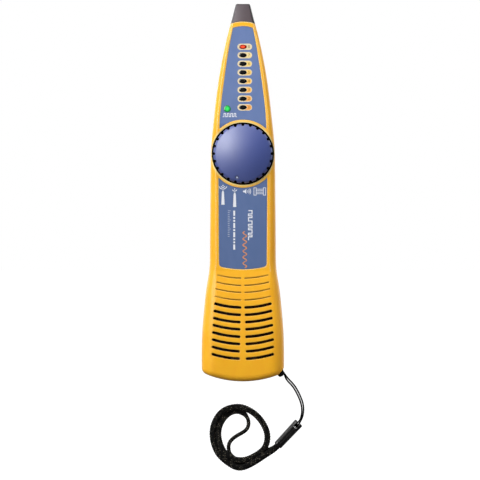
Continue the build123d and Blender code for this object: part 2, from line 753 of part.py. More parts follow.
# ---------------------------------------------------------------------------
# Selector dial and the rotary switch under it
# ---------------------------------------------------------------------------
KNOB_BACK_Y = -26.2
KNOB_RIM_R = DIAL_R + 0.02      # just outside the fluted edge
FLUTES = 24
DETENT_STEP = 18.0      # degrees between selector positions
POINTER_ANGLE = math.radians(13.8)      # to the left of straight down
POINTER_R = 16.1
POINTER_PLACE = (-POINTER_R * math.sin(POINTER_ANGLE), -POINTER_R * math.cos(POINTER_ANGLE))

with BuildPart() as dial_knob:
    with BuildSketch(at_y(KNOB_BACK_Y)):
        Circle(DIAL_R)
        with PolarLocations(DIAL_R - 0.25, FLUTES, start_angle=90.0):
            Circle(1.0, mode=Mode.SUBTRACT)
    extrude(amount=KNOB_BACK_Y - DIAL_TOP_Y)
    # softly domed top with a rolled edge
    with BuildSketch(Plane.XY):
        with BuildLine():
            ThreePointArc((0, DIAL_TOP_Y), (9.0, DIAL_TOP_Y + 0.10), (17.4, DIAL_TOP_Y + 0.42))
            ThreePointArc((17.4, DIAL_TOP_Y + 0.42), (18.85, DIAL_TOP_Y + 1.0),
                          (KNOB_RIM_R, DIAL_TOP_Y + 2.4))
            Polyline((KNOB_RIM_R, DIAL_TOP_Y + 2.4), (KNOB_RIM_R, KNOB_BACK_Y),
                     (0, KNOB_BACK_Y), (0, DIAL_TOP_Y))
        make_face()
    revolve(axis=Axis.Y, mode=Mode.INTERSECT)
    # hollow underside
    with BuildSketch(at_y(KNOB_BACK_Y)):
        Circle(DIAL_R - 2.4)
    extrude(amount=4.2, mode=Mode.SUBTRACT)
    # hub through the shell, bored for the shaft
    with BuildSketch(at_y(-22.6)):
        Circle(HUB_R)
    extrude(amount=8.0)
    with BuildSketch(at_y(-22.0)):
        Circle(SHAFT_R + 0.02)
    extrude(amount=8.2, mode=Mode.SUBTRACT)
    # dimple of the pointer
    with BuildSketch(at_y(-32.15)):
        with Locations(POINTER_PLACE):
            Circle(1.2)
    extrude(amount=3.0, mode=Mode.SUBTRACT)
save(dial_knob, "dial_knob")

SEAL_R = DIAL_RECESS_R - 0.04

with BuildPart() as dial_seal:
    # flat washer under the skirt, with a low rim in the gap round the knob
    with BuildSketch(at_y(DIAL_RECESS_Y - 0.01)):
        Circle(SEAL_R)
        Circle(16.6, mode=Mode.SUBTRACT)
    extrude(amount=0.31)
    with BuildSketch(at_y(DIAL_RECESS_Y - 0.2)):
        Circle(SEAL_R)
        Circle(DIAL_R + 0.14, mode=Mode.SUBTRACT)
    extrude(amount=0.75)
save(dial_seal, "dial_seal")

with BuildPart() as pointer_dot:
    with BuildSketch(at_y(-32.17)):
        with Locations(POINTER_PLACE):
            Circle(0.62)
    extrude(amount=0.3)
save(pointer_dot, "pointer_dot")

with BuildPart() as switch_shaft:
    with BuildSketch(at_y(-17.2)):
        Circle(SHAFT_R)
    extrude(amount=12.8)
    # star wheel of the detent, one notch per step
    with BuildSketch(at_y(-18.2)):
        Circle(4.5)
        with PolarLocations(4.65, int(360 / DETENT_STEP)):
            Circle(0.45, mode=Mode.SUBTRACT)
    extrude(amount=1.5)
save(switch_shaft, "switch_shaft")

SWITCH_SIZE, SWITCH_CORNER_R = 13.0, 0.8

with BuildPart() as switch_base:
    with BuildSketch(at_y(PCB_FRONT - 0.03)):
        RectangleRounded(SWITCH_SIZE, SWITCH_SIZE, SWITCH_CORNER_R)
    extrude(amount=4.1)
    with BuildSketch(at_y(-17.0)):
        Circle(5.6)
    extrude(amount=6.0, mode=Mode.SUBTRACT)
save(switch_base, "switch_base")

with BuildPart() as switch_cover:
    with BuildSketch(at_y(-20.15)):
        RectangleRounded(SWITCH_SIZE, SWITCH_SIZE, SWITCH_CORNER_R)
        Circle(SHAFT_R + 0.06, mode=Mode.SUBTRACT)
    extrude(amount=0.8)
save(switch_cover, "switch_cover")

with BuildPart() as detent_spring:
    # leaf with a round nose
    with BuildSketch(at_y(-18.3)):
        with Locations((5.1, 0)):
            Rectangle(0.25, 4.0)
        with Locations((4.97, 0)):
            Circle(0.38)
    extrude(amount=1.3)
save(detent_spring, "detent_spring")

# ---------------------------------------------------------------------------
# Loudspeaker behind the grille
# ---------------------------------------------------------------------------
SPK_PLANE = Plane.XY.offset(SPK_Z)
SPK_AXIS = Axis((0, 0, SPK_Z), (0, 1, 0))
# half profiles: radius, y
FRAME_PROFILE = [(15.4, -28.75), (SPK_R, -28.75), (SPK_R, -27.7), (16.6, -27.7), (9.6, -24.0),
                 (3.0, -24.0), (3.0, -24.9), (9.2, -24.9), (15.4, -28.2)]
CONE_PROFILE = [(15.2, -28.7), (15.2, -28.4), (5.0, -26.3), (0, -27.6), (0, -28.0),
                (5.0, -26.65)]


def speaker_revolve(profile):
    """Closed half profile turned round the axis of the speaker."""
    with BuildPart() as turned:
        with BuildSketch(SPK_PLANE):
            with BuildLine():
                Polyline(*profile, close=True)
            make_face()
        revolve(axis=SPK_AXIS)
    return turned


def speaker_ring(back_y, outer_r, inner_r, thickness):
    """Flat ring on the axis of the speaker."""
    with BuildPart() as ring:
        with BuildSketch(at_y(back_y)):
            with Locations((0, SPK_Z)):
                Circle(outer_r)
                Circle(inner_r, mode=Mode.SUBTRACT)
        extrude(amount=thickness)
    return ring


save(speaker_revolve(FRAME_PROFILE), "speaker_frame")
save(speaker_revolve(CONE_PROFILE), "speaker_cone")
save(speaker_ring(back_y=-25.0, outer_r=4.3, inner_r=3.8, thickness=1.2), "voice_coil")

with BuildPart() as speaker_magnet:
    with BuildSketch(at_y(-21.7)):
        with Locations((0, SPK_Z)):
            Circle(8.0)
    extrude(amount=2.25)
    fillet(speaker_magnet.faces().sort_by(Axis.Y)[-1].edges(), 0.5)
save(speaker_magnet, "speaker_magnet")

save(speaker_ring(back_y=-28.78, outer_r=17.2, inner_r=15.0, thickness=0.25), "speaker_gasket")

# thin cloth against the inside of the grille: the hollow less a copy of it further back
CLOTH_FRONT_SHIFT, CLOTH_BACK_SHIFT = 0.06, 0.28

with BuildPart() as cloth_back:
    with Locations((0, CLOTH_BACK_SHIFT, 0)):
        add(inner_form.part)

with BuildPart() as grille_cloth:
    with Locations((0, CLOTH_FRONT_SHIFT, 0)):
        add(inner_form.part)
    add(cloth_back.part, mode=Mode.SUBTRACT)
    with BuildSketch(at_y(-28.0)):
        with Locations((0, -115.3)):
            Rectangle(41.6, 37.2)
        with Locations(*SPK_POSTS):
            Circle(1.1, mode=Mode.SUBTRACT)
    extrude(amount=6.0, mode=Mode.INTERSECT)
save(grille_cloth, "grille_cloth")

# route of the left lead from the speaker to the front of the board
SPEAKER_LEAD = [(-3.0, -24.0, -106.0), (-3.2, -22.6, -100.0), (-4.0, -22.4, -88.0),
                (-5.0, -20.0, -76.0), (-5.0, -18.0, -70.5), (-5.0, -16.06, -69.5)]
SPEAKER_LEAD_PITCH = 3.0

with BuildPart() as speaker_leads:
    for shift in (0.0, SPEAKER_LEAD_PITCH):
        sweep_wire([(x + shift, y, z) for x, y, z in SPEAKER_LEAD], 0.4)
save(speaker_leads, "speaker_leads")

# ---------------------------------------------------------------------------
# Battery and its connector
# ---------------------------------------------------------------------------
BAT_Y = -3.9 - BAT_D / 2        # the back of the battery is at Y -3.9
BAT_BOTTOM = -143.6
BAT_TOP = BAT_BOTTOM + BAT_L
TERMINAL_X = 6.35

with BuildPart() as battery:
    with BuildSketch(Plane.XY.offset(BAT_BOTTOM)):
        with Locations((0, BAT_Y)):
            RectangleRounded(BAT_W, BAT_D, 2.2)
    extrude(amount=BAT_L)
    fillet(battery.faces().sort_by(Axis.Z)[-1].edges(), 0.5)
save(battery, "battery")

with BuildPart() as battery_terminals:
    with BuildSketch(Plane.XY.offset(BAT_TOP + 0.02)):
        with Locations((-TERMINAL_X, BAT_Y)):
            Circle(2.9)
        with Locations((TERMINAL_X, BAT_Y)):
            RegularPolygon(3.9, 6)
    extrude(amount=2.6)
save(battery_terminals, "battery_terminals")

with BuildPart() as battery_snap:
    with BuildSketch(Plane.XY.offset(BAT_TOP + 0.2)):
        with Locations((0, BAT_Y)):
            RectangleRounded(25.0, 12.6, 5.0)
    extrude(amount=4.6)
    with BuildSketch(Plane.XY.offset(BAT_TOP)):
        with Locations((-TERMINAL_X, BAT_Y)):
            Circle(3.1)
        with Locations((TERMINAL_X, BAT_Y)):
            Circle(4.1)
    extrude(amount=3.0, mode=Mode.SUBTRACT)
save(battery_snap, "battery_snap")

# route of the right-hand lead from the snap to the back of the board
BATTERY_LEAD = [(5.0, BAT_Y, BAT_TOP + 5.15), (6.2, -11.0, -86.0), (8.0, -9.0, -80.5),
                (8.4, -9.4, -74.0), (8.2, -12.0, -69.6), (8.0, -14.36, -68.6)]

for side, colour in ((-1, "red"), (1, "black")):
    with BuildPart() as battery_lead:
        sweep_wire([(side * x, y, z) for x, y, z in BATTERY_LEAD], 0.6)
    save(battery_lead, f"battery_lead_{colour}")

with BuildPart() as battery_pad:
    with BuildSketch(Plane.XY.offset(BAT_BOTTOM - 1.55)):
        with Locations((0, BAT_Y)):
            Rectangle(16.0, 12.0)
    extrude(amount=1.5)
save(battery_pad, "battery_pad")


# ---------------------------------------------------------------------------
# Case screws, driven from the rear
# ---------------------------------------------------------------------------
def cross_screws(places, seat_y, head_r, head_h, shank_r, shank_l, cross_y, cross_l, cross_w):
    """Screws with a cross recess; the head stands behind seat_y, the shank runs forward."""
    with BuildPart() as screws:
        with BuildSketch(at_y(seat_y)):
            with Locations(*places):
                Circle(head_r)
        extrude(amount=-head_h)
        # the shank starts a little inside the head
        with BuildSketch(at_y(seat_y + 0.08)):
            with Locations(*places):
                Circle(shank_r)
        extrude(amount=shank_l)
        with BuildSketch(at_y(cross_y)):
            with Locations(*places):
                Rectangle(cross_l, cross_w)
                Rectangle(cross_w, cross_l)
        extrude(amount=-3.0, mode=Mode.SUBTRACT)
    return screws


case_screws = cross_screws(
    LOWER_SCREWS, seat_y=-5.48, head_r=2.3, head_h=1.7, shank_r=1.2, shank_l=14.5,
    cross_y=-4.6, cross_l=2.6, cross_w=0.6,
)
save(case_screws, "case_screws")

tip_screw = cross_screws(
    UPPER_SCREW, seat_y=-9.18, head_r=1.9, head_h=1.3, shank_r=1.0, shank_l=8.6,
    cross_y=-8.5, cross_l=2.2, cross_w=0.5,
)
save(tip_screw, "tip_screw")

# ---------------------------------------------------------------------------
# Lanyard: anchor, pin, thin loop, coupler and braided wrist loop
# ---------------------------------------------------------------------------
HITCH_SLOT_D = 3.8      # depth in Y of the slot in the anchor

with BuildPart() as strap_anchor:
    with BuildSketch(at_y(ANCHOR_BACK_Y)):
        with BuildLine():
            Polyline(*ANCHOR, close=True)
        make_face()
    extrude(amount=ANCHOR_DEPTH)
    # slot in which the hitch of the loop turns, open outwards and downwards
    with BuildSketch(at_y(CORD_Y + HITCH_SLOT_D / 2)):
        with Locations((PIN_X, PIN_Z)):
            Circle(2.25)
        with BuildLine():
            Polyline((PIN_X - 1.2, PIN_Z + 1.6), (PIN_X + 6, PIN_Z + 6.5),
                     (PIN_X + 6, PIN_Z - 6), (PIN_X - 4.2, PIN_Z - 6),
                     (PIN_X - 2.0, PIN_Z - 1.0), close=True)
        make_face()
    extrude(amount=HITCH_SLOT_D, mode=Mode.SUBTRACT)
    with BuildSketch(at_y(0)):
        with Locations((PIN_X, PIN_Z)):
            Circle(PIN_R + 0.01)
    extrude(amount=23.0, mode=Mode.SUBTRACT)
save(strap_anchor, "strap_anchor")

with BuildPart() as strap_pin:
    with BuildSketch(at_y(-9.5)):
        with Locations((PIN_X, PIN_Z)):
            Circle(PIN_R)
    extrude(amount=13.3)
save(strap_pin, "strap_pin")

# middle line (x, z) of the two strands, from the pin to the coupler
CORD = [(26.15, -145.3), (29.1, -148.2), (32.5, -152.0), (35.4, -156.2), (37.7, -160.9),
        (39.2, -165.5), (39.55, -169.2), (39.0, -173.0), (37.6, -175.9), (36.0, -178.3)]
STRAND_OFFSET = 0.42
STRAND_R = STRAND_OFFSET - 0.04
HITCH_R, HITCH_W = 2.0, 3.2
EYE_R, EYE_W = 1.5, 2.16

COUPLER_X, COUPLER_Z = 37.1, -177.4     # middle of the fork end
ALONG_X, ALONG_Z = -0.684, -0.7295      # direction along the coupler
ACROSS_X, ACROSS_Z = -ALONG_Z, ALONG_X  # across it, in the front view
COUPLER_L = 20.9
BAR_S = 2.3             # distance of the coupler bar from the fork tips
BAR_R, BAR_L = 0.8, 5.8
BAR_X = COUPLER_X + ALONG_X * BAR_S
BAR_Z = COUPLER_Z + ALONG_Z * BAR_S


def bar_plane(length):
    """Plane across the bar's axis, from which this length is centred on the coupler."""
    half = length / 2
    return Plane(origin=(BAR_X - ACROSS_X * half, CORD_Y, BAR_Z - ACROSS_Z * half),
                 z_dir=(ACROSS_X, 0, ACROSS_Z))


def strand(side):
    """One strand of the thin loop, at the signed distance side from the middle line."""
    points = []
    for k, (x, z) in enumerate(CORD):
        before = CORD[max(0, k - 1)]
        after = CORD[min(len(CORD) - 1, k + 1)]
        run_x, run_z = after[0] - before[0], after[1] - before[1]
        length = math.hypot(run_x, run_z)
        points.append((x - run_z / length * side, CORD_Y, z + run_x / length * side))
    return points


with BuildPart() as thin_cord:
    # hitch around the pin
    with BuildSketch(at_y(CORD_Y + HITCH_W / 2)):
        with Locations((PIN_X, PIN_Z)):
            Circle(HITCH_R)
    extrude(amount=HITCH_W)
    # eye around the coupler bar
    with BuildSketch(bar_plane(EYE_W)):
        Circle(EYE_R)
    extrude(amount=EYE_W)
    sweep_wire(strand(STRAND_OFFSET), STRAND_R)
    sweep_wire(strand(-STRAND_OFFSET), STRAND_R)
    # holes for the pin and the bar
    with BuildSketch(at_y(0)):
        with Locations((PIN_X, PIN_Z)):
            Circle(PIN_R + 0.05)
    extrude(amount=30.0, mode=Mode.SUBTRACT)
    with BuildSketch(bar_plane(6.0)):
        Circle(BAR_R + 0.06)
    extrude(amount=6.0, mode=Mode.SUBTRACT)
save(thin_cord, "thin_cord")

COUPLER_PLANE = Plane(origin=(COUPLER_X, CORD_Y, COUPLER_Z), x_dir=(ACROSS_X, 0, ACROSS_Z),
                      z_dir=(ALONG_X, 0, ALONG_Z))

with BuildPart() as coupler_body:
    with BuildSketch(COUPLER_PLANE):
        RectangleRounded(6.4, 7.4, 2.4)
    with BuildSketch(COUPLER_PLANE.offset(COUPLER_L)):
        RectangleRounded(5.7, 7.2, 2.2)
    loft()
    fillet(coupler_body.faces().filter_by(GeomType.PLANE).edges(), 0.7)
    # fork
    with BuildSketch(COUPLER_PLANE.offset(-1.0)):
        Rectangle(2.5, 12.0)
    extrude(amount=5.3, mode=Mode.SUBTRACT)
    # mouth for the two ends of the braid
    with BuildSketch(COUPLER_PLANE.offset(14.3)):
        SlotOverall(6.4, 3.3, rotation=90)
    extrude(amount=10.0, mode=Mode.SUBTRACT)
    # grooves along the length, front and rear
    with BuildSketch(COUPLER_PLANE.offset(3.0)):
        with Locations(*[(across, y) for across in (-1.5, 0.0, 1.5) for y in (-3.75, 3.75)]):
            Rectangle(0.5, 0.8)
    extrude(amount=16.0, mode=Mode.SUBTRACT)
    # hole for the bar
    with BuildSketch(bar_plane(10.0)):
        Circle(BAR_R + 0.01)
    extrude(amount=10.0, mode=Mode.SUBTRACT)
save(coupler_body, "coupler_body")

with BuildPart() as coupler_bar:
    with BuildSketch(bar_plane(BAR_L)):
        Circle(BAR_R)
    extrude(amount=BAR_L)
save(coupler_bar, "coupler_bar")

# middle line (x, y, z) of the braid: out of the coupler, once round outside, once
# round inside, across the middle in an S and back along the bottom
BRAID = [
    (26.5, -18.0, -188.75), (24.45, -18.0, -190.94), (22.05, -18.4, -193.5),
    (14.75, -19.3, -198.6), (10.47, -19.5, -201.5), (5.86, -19.3, -204.3),
    (1.58, -18.7, -206.35), (-3.03, -18.2, -207.03), (-8.04, -18.0, -204.96),
    (-12.8, -18.0, -201.4), (-16.4, -18.0, -197.4), (-18.5, -18.0, -193.06),
    (-19.7, -18.0, -188.45), (-20.02, -18.0, -183.84), (-19.3, -18.0, -179.17),
    (-17.32, -18.0, -174.56), (-14.16, -18.0, -170.6), (-10.21, -18.0, -168.2),
    (-5.93, -18.0, -167.1), (-1.25, -18.0, -167.1), (3.03, -18.0, -168.55),
    (7.31, -18.0, -171.13), (11.2, -18.0, -174.88), (14.23, -18.0, -179.5),
    (16.01, -18.0, -184.5), (16.01, -18.0, -189.51), (14.35, -17.9, -193.9),
    (11.5, -17.8, -196.9), (7.4, -17.8, -199.5), (2.63, -17.9, -201.6),
    (-2.37, -18.0, -202.1), (-6.98, -18.0, -201.0), (-10.7, -18.0, -198.6),
    (-13.7, -18.0, -194.6), (-15.5, -17.8, -189.9), (-16.2, -17.55, -183.84),
    (-15.5, -17.3, -179.89), (-13.95, -17.0, -176.4), (-11.6, -16.6, -173.3),
    (-8.69, -16.2, -171.0), (-5.53, -15.9, -169.85), (-2.44, -15.7, -169.85),
    (0.13, -15.6, -170.93), (2.31, -15.55, -173.24), (3.56, -15.5, -175.94),
    (3.69, -15.45, -178.84), (2.83, -15.4, -181.34), (0.66, -15.35, -183.45),
    (-2.37, -15.3, -185.23), (-5.2, -15.2, -187.0), (-7.71, -15.1, -189.18),
    (-9.16, -15.0, -191.68), (-9.42, -14.9, -194.6), (-8.6, -14.85, -198.0),
    (-6.4, -14.8, -201.3), (-2.9, -14.8, -203.7), (1.38, -14.8, -204.0),
    (5.86, -14.8, -202.5), (10.47, -14.85, -200.1), (14.75, -14.9, -197.3),
    (22.05, -14.98, -193.5), (24.45, -15.0, -190.94), (26.5, -15.0, -188.75),
]
BRAID_R = 1.39

with BuildPart() as braided_cord:
    sweep_wire(BRAID, BRAID_R)
save(braided_cord, "braided_cord")
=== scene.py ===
"""Looks of a hand-held cable probe with its lanyard.

The case stands upright with its tip towards +Z, and its face looks along -Y. The dial is
centred on the origin and the lanyard hangs below. The two overlays lie on the face, which
leans back above a knee. Coordinates are millimetres until they reach a mesh, where MM turns
them into metres. Materials, lights and camera are in metres.
"""

import bpy
import bmesh
import math
import numpy as np
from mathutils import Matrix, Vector

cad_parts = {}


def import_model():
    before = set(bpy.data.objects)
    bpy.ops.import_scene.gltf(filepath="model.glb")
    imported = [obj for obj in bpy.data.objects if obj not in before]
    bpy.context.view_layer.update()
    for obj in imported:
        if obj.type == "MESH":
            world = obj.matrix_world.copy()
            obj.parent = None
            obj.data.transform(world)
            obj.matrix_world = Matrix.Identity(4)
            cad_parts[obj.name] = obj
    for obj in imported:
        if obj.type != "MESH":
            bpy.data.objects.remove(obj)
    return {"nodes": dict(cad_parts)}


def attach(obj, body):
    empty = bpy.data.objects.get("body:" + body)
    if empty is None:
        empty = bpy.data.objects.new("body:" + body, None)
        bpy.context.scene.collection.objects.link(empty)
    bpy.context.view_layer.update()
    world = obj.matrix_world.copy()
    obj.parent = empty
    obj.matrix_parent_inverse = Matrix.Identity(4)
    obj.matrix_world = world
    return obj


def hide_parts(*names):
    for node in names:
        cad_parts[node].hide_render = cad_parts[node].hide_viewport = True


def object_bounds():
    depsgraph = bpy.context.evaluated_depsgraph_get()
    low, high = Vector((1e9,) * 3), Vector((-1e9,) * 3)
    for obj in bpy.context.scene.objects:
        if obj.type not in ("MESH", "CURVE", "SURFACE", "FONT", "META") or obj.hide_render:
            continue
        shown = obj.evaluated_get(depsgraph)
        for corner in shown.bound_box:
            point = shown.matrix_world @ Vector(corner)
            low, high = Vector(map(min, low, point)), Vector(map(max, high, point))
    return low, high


MM = 0.001
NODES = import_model()["nodes"]
cad_low, cad_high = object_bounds()


# ---------------------------------------------------------------------------
# Material tools
# ---------------------------------------------------------------------------
def srgb(*rgb):
    """Linear RGBA from 0-255 display values."""
    def linear(c):
        c /= 255.0
        return c / 12.92 if c <= 0.04045 else ((c + 0.055) / 1.055) ** 2.4
    return (*map(linear, rgb), 1.0)


def scaled(color, factor):
    """The colour made darker or lighter."""
    return (*(min(1, c * factor) for c in color[:3]), 1.0)


class Nodes:
    """A node tree with short ways to add nodes. Any input takes a value or a socket."""

    def __init__(self, tree):
        self.tree = tree
        tree.nodes.clear()

    def feed(self, socket, value):
        if isinstance(value, bpy.types.NodeSocket):
            self.tree.links.new(value, socket)
        else:
            socket.default_value = value

    def node(self, kind, inputs, **properties):
        node = self.tree.nodes.new(kind)
        for name, value in properties.items():
            setattr(node, name, value)
        for key, value in inputs.items():
            self.feed(node.inputs[key], value)
        return node

    def remap(self, value, span=(0.3, 0.7), to=(0.0, 1.0), **properties):
        """Map the range span onto the range to."""
        return self.node("ShaderNodeMapRange", {
            "From Min": span[0], "From Max": span[1],
            "To Min": to[0], "To Max": to[1], "Value": value}, **properties).outputs[0]

    def split(self, vector):
        """The X, Y and Z outputs of a vector."""
        return self.node("ShaderNodeSeparateXYZ", {0: vector}).outputs

    def mix_shaders(self, factor, first, second):
        return self.node("ShaderNodeMixShader", {0: factor, 1: first, 2: second}).outputs[0]


class Material(Nodes):
    """A principled material whose textures lie in object coordinates."""

    def __init__(self, name):
        self.data = bpy.data.materials.new(name)
        self.data.use_nodes = True
        super().__init__(self.data.node_tree)
        self.output = self.node("ShaderNodeOutputMaterial", {})
        self.shader = self.node("ShaderNodeBsdfPrincipled", {})
        self.feed(self.output.inputs[0], self.shader.outputs[0])
        self.place = self.node("ShaderNodeTexCoord", {}).outputs["Object"]

    def set(self, **inputs):
        """Set or link principled inputs, with underscores for the spaces in their names."""
        for name, value in inputs.items():
            self.feed(self.shader.inputs[name.replace("_", " ")], value)

    def noise(self, scale, detail=3.0, roughness=0.5, distortion=0.0, stretch=None):
        vector = self.place
        if stretch:
            mapping = self.node("ShaderNodeMapping", {"Scale": stretch, "Vector": vector})
            vector = mapping.outputs[0]
        return self.node("ShaderNodeTexNoise", {
            "Scale": scale, "Detail": detail, "Roughness": roughness,
            "Distortion": distortion, "Vector": vector}).outputs["Fac"]

    def voronoi(self, scale, vector):
        return self.node("ShaderNodeTexVoronoi",
                         {"Scale": scale, "Vector": vector}).outputs["Distance"]

    def wave(self, vector, **inputs):
        """Bands that follow each other along Y."""
        return self.node("ShaderNodeTexWave", {**inputs, "Vector": vector},
                         wave_type="BANDS", bands_direction="Y").outputs["Fac"]

    def attribute(self, name):
        return self.node("ShaderNodeAttribute", {}, attribute_name=name).outputs["Fac"]

    def ramp(self, value, stops):
        """Colour ramp through (position, colour) stops."""
        node = self.node("ShaderNodeValToRGB", {0: value})
        elements = node.color_ramp.elements
        while len(elements) < len(stops):
            elements.new(0.5)
        for k, (position, color) in enumerate(stops):
            elements[k].position = position
            elements[k].color = color
        return node.outputs[0]

    def mix(self, factor, first, second, blend="MIX"):
        return self.node("ShaderNodeMix", {0: factor, 6: first, 7: second},
                         data_type="RGBA", blend_type=blend).outputs[2]

    def mottle(self, texture, first, second, span=(0.3, 0.7), to=(0.0, 1.0)):
        """Two colours mixed by a texture."""
        return self.mix(self.remap(texture, span, to), first, second)

    def math(self, operation, *values):
        return self.node("ShaderNodeMath", dict(enumerate(values)),
                         operation=operation).outputs[0]

    def add(self, first, second):
        return self.math("ADD", first, second)

    def multiply(self, first, second):
        return self.math("MULTIPLY", first, second)

    def weighted(self, first, first_weight, second, second_weight):
        return self.add(self.multiply(first, first_weight),
                        self.multiply(second, second_weight))

    def vector_math(self, operation, *values):
        node = self.node("ShaderNodeVectorMath", dict(enumerate(values)), operation=operation)
        scalar = operation in ("DOT_PRODUCT", "LENGTH")
        return node.outputs["Value" if scalar else "Vector"]

    def relief(self, height, strength, depth, normal=None):
        """Bump the surface, depth in metres."""
        inputs = {"Strength": strength, "Distance": depth, "Height": height}
        if normal is not None:
            inputs["Normal"] = normal
        self.set(Normal=self.node("ShaderNodeBump", inputs).outputs[0])


# ---------------------------------------------------------------------------
# Moulded plastics
# ---------------------------------------------------------------------------
def painted_height_shade(m, shade, low, high, low_tone, high_tone):
    """Painted shade: a tint multiplied in that changes from height low to height high, mm; in
    use it darkens the lower part, where less light falls.
    """
    z = m.split(m.place)["Z"]
    return m.mix(m.remap(z, (low * MM, high * MM)),
                 m.mix(1.0, shade, low_tone, blend="MULTIPLY"),
                 m.mix(1.0, shade, high_tone, blend="MULTIPLY"))


def edge_highlight_and_scuffs(m, shade, normal, tone, amount, calm=None):
    """Pale edges where the rounded normal leaves the true one: a painted highlight for light
    caught on the roundings, broken into patches like scuffing. Calm is (height mm, share):
    below that height only that share of the pale edges is left."""
    true_normal = m.node("ShaderNodeNewGeometry", {}).outputs["Normal"]
    edge = m.remap(m.vector_math("DOT_PRODUCT", normal, true_normal), span=(0.998, 0.93))
    patches = m.noise(scale=900.0, detail=3.0, roughness=0.6)
    scuffed_glint = m.multiply(edge, m.remap(patches, span=(0.30, 0.52), to=(0.35, 1.0)))
    if calm:
        height, share = calm
        z = m.split(m.place)["Z"]
        step = m.remap(z, span=(height * MM - 0.001, height * MM), to=(share, 1.0))
        scuffed_glint = m.multiply(scuffed_glint, step)
    return m.mix(m.multiply(scuffed_glint, amount), shade, tone)


def painted_shade_flanks(m, shade, normal, dark, mid):
    """Painted shade: bevels that look to +X and up are painted dark, those that look to -X
    middling, as if lit from the upper left.
    """
    facing = m.split(normal)
    shade = m.mottle(facing["X"], shade, mid, span=(-0.12, -0.40))
    shade = m.mottle(facing["X"], shade, dark, span=(0.12, 0.34))
    return m.mottle(facing["Z"], shade, dark, span=(0.26, 0.50), to=(0.0, 0.85))


def groove_shade_and_dust(m, shade, tone, reach, span):
    """Painted shade and dust in grooves and gaps within reach, mm: ambient occlusion darkens
    the colour.
    """
    node = m.node("ShaderNodeAmbientOcclusion", {"Distance": reach * MM}, samples=6)
    return m.mottle(node.outputs["AO"], shade, tone, span=span, to=(1.0, 0.0))


def painted_rim_highlight(m, shade, inner, outer, tone, amount):
    """Painted highlight: a pale line on the rim of the dial recess, fading from radius inner to
    outer, mm.
    """
    place = m.split(m.place)
    squares = m.add(m.multiply(place["X"], place["X"]), m.multiply(place["Z"], place["Z"]))
    near = m.remap(m.math("POWER", squares, 0.5), span=(outer * MM, inner * MM))
    front = m.remap(place["Y"], span=(-28.0 * MM, -28.6 * MM))
    return m.mix(m.multiply(m.multiply(near, front), amount), shade, tone)


def domed_normal(m, normal, radius, lean_x, lean_z):
    """Lean the normal outwards from the middle, so that a flat face seems to swell."""
    lean = m.vector_math("MULTIPLY", m.place,
                         (lean_x / (radius * MM), 0.0, lean_z / (radius * MM)))
    turned = m.node("ShaderNodeVectorTransform", {0: lean}, vector_type="VECTOR",
                    convert_from="OBJECT", convert_to="WORLD").outputs[0]
    return m.vector_math("NORMALIZE", m.vector_math("ADD", normal, turned))


def moulded(name, base, *, rough, grain, vary, round_mm, spec=0.45, ior=1.5,
            grain_scale=2600.0, tint=None, subsurface=0.0, fade=None, edge_sheen_and_scuffs=None,
            flanks=None, grooves=None, rim=None, dome=None):
    """Injection-moulded plastic: fine spark-eroded grain, flow variation, softened edges.

    vary is the depth of the tone variation. The options from fade on are the named
    arguments of the functions above; all of them but dome paint shade or highlights into the
    colour, and dome leans the normal.
    """
    m = Material(name)
    broad = m.noise(scale=38.0, detail=3.0, roughness=0.55)
    flow = m.noise(scale=260.0, detail=2.0, stretch=(1.0, 1.0, 0.35))
    shade = m.mottle(broad, scaled(base, 1.0 - vary), scaled(base, 1.0 + vary * 0.5),
                     span=(0.32, 0.68))
    shade = m.mottle(flow, shade, tint or scaled(base, 1.0 - vary * 1.5),
                     span=(0.35, 0.65), to=(0.0, 0.35))
    # painted light: the options below, all but dome, lay painted shade and highlights into the
    # colour
    if fade:
        shade = painted_height_shade(m, shade, **fade)
    fine = m.noise(scale=grain_scale, detail=2.0, roughness=0.6)
    pits = m.noise(scale=grain_scale * 0.42, detail=1.0)
    normal = m.node("ShaderNodeBevel", {"Radius": round_mm * MM}, samples=4).outputs[0]
    if edge_sheen_and_scuffs:
        shade = edge_highlight_and_scuffs(m, shade, normal, **edge_sheen_and_scuffs)
    if flanks:
        shade = painted_shade_flanks(m, shade, normal, **flanks)
    if grooves:
        shade = groove_shade_and_dust(m, shade, **grooves)
    if rim:
        shade = painted_rim_highlight(m, shade, **rim)
    if dome:
        normal = domed_normal(m, normal, **dome)
    m.set(Base_Color=shade)
    m.relief(m.add(fine, m.multiply(pits, 0.6)), strength=grain, depth=0.00012, normal=normal)
    m.set(Roughness=m.remap(m.weighted(broad, 0.6, fine, 0.4), to=(rough - 0.05, rough + 0.06)),
          Specular_IOR_Level=spec, IOR=ior)
    if subsurface:
        m.set(Subsurface_Weight=subsurface, Subsurface_Radius=(1.0, 0.5, 0.15),
              Subsurface_Scale=0.0012)
    return m.data


def yellow_case():
    return moulded(
        "yellow_case_plastic", srgb(253, 186, 36), rough=0.36, grain=0.09, vary=0.035,
        spec=0.50, round_mm=1.1, subsurface=0.05, tint=srgb(248, 170, 34),
        # painted light: pale painted highlights in scuff-like patches on the rounded edges,
        # fewer low on the case; painted shade in grooves and gaps; a painted highlight on the
        # dial recess rim
        edge_sheen_and_scuffs=dict(tone=srgb(255, 240, 178), amount=0.95, calm=(-77.0, 0.18)),
        grooves=dict(tone=srgb(138, 88, 14), reach=1.7, span=(0.20, 0.85)),
        rim=dict(inner=20.7, outer=21.9, tone=srgb(255, 232, 158), amount=0.85))


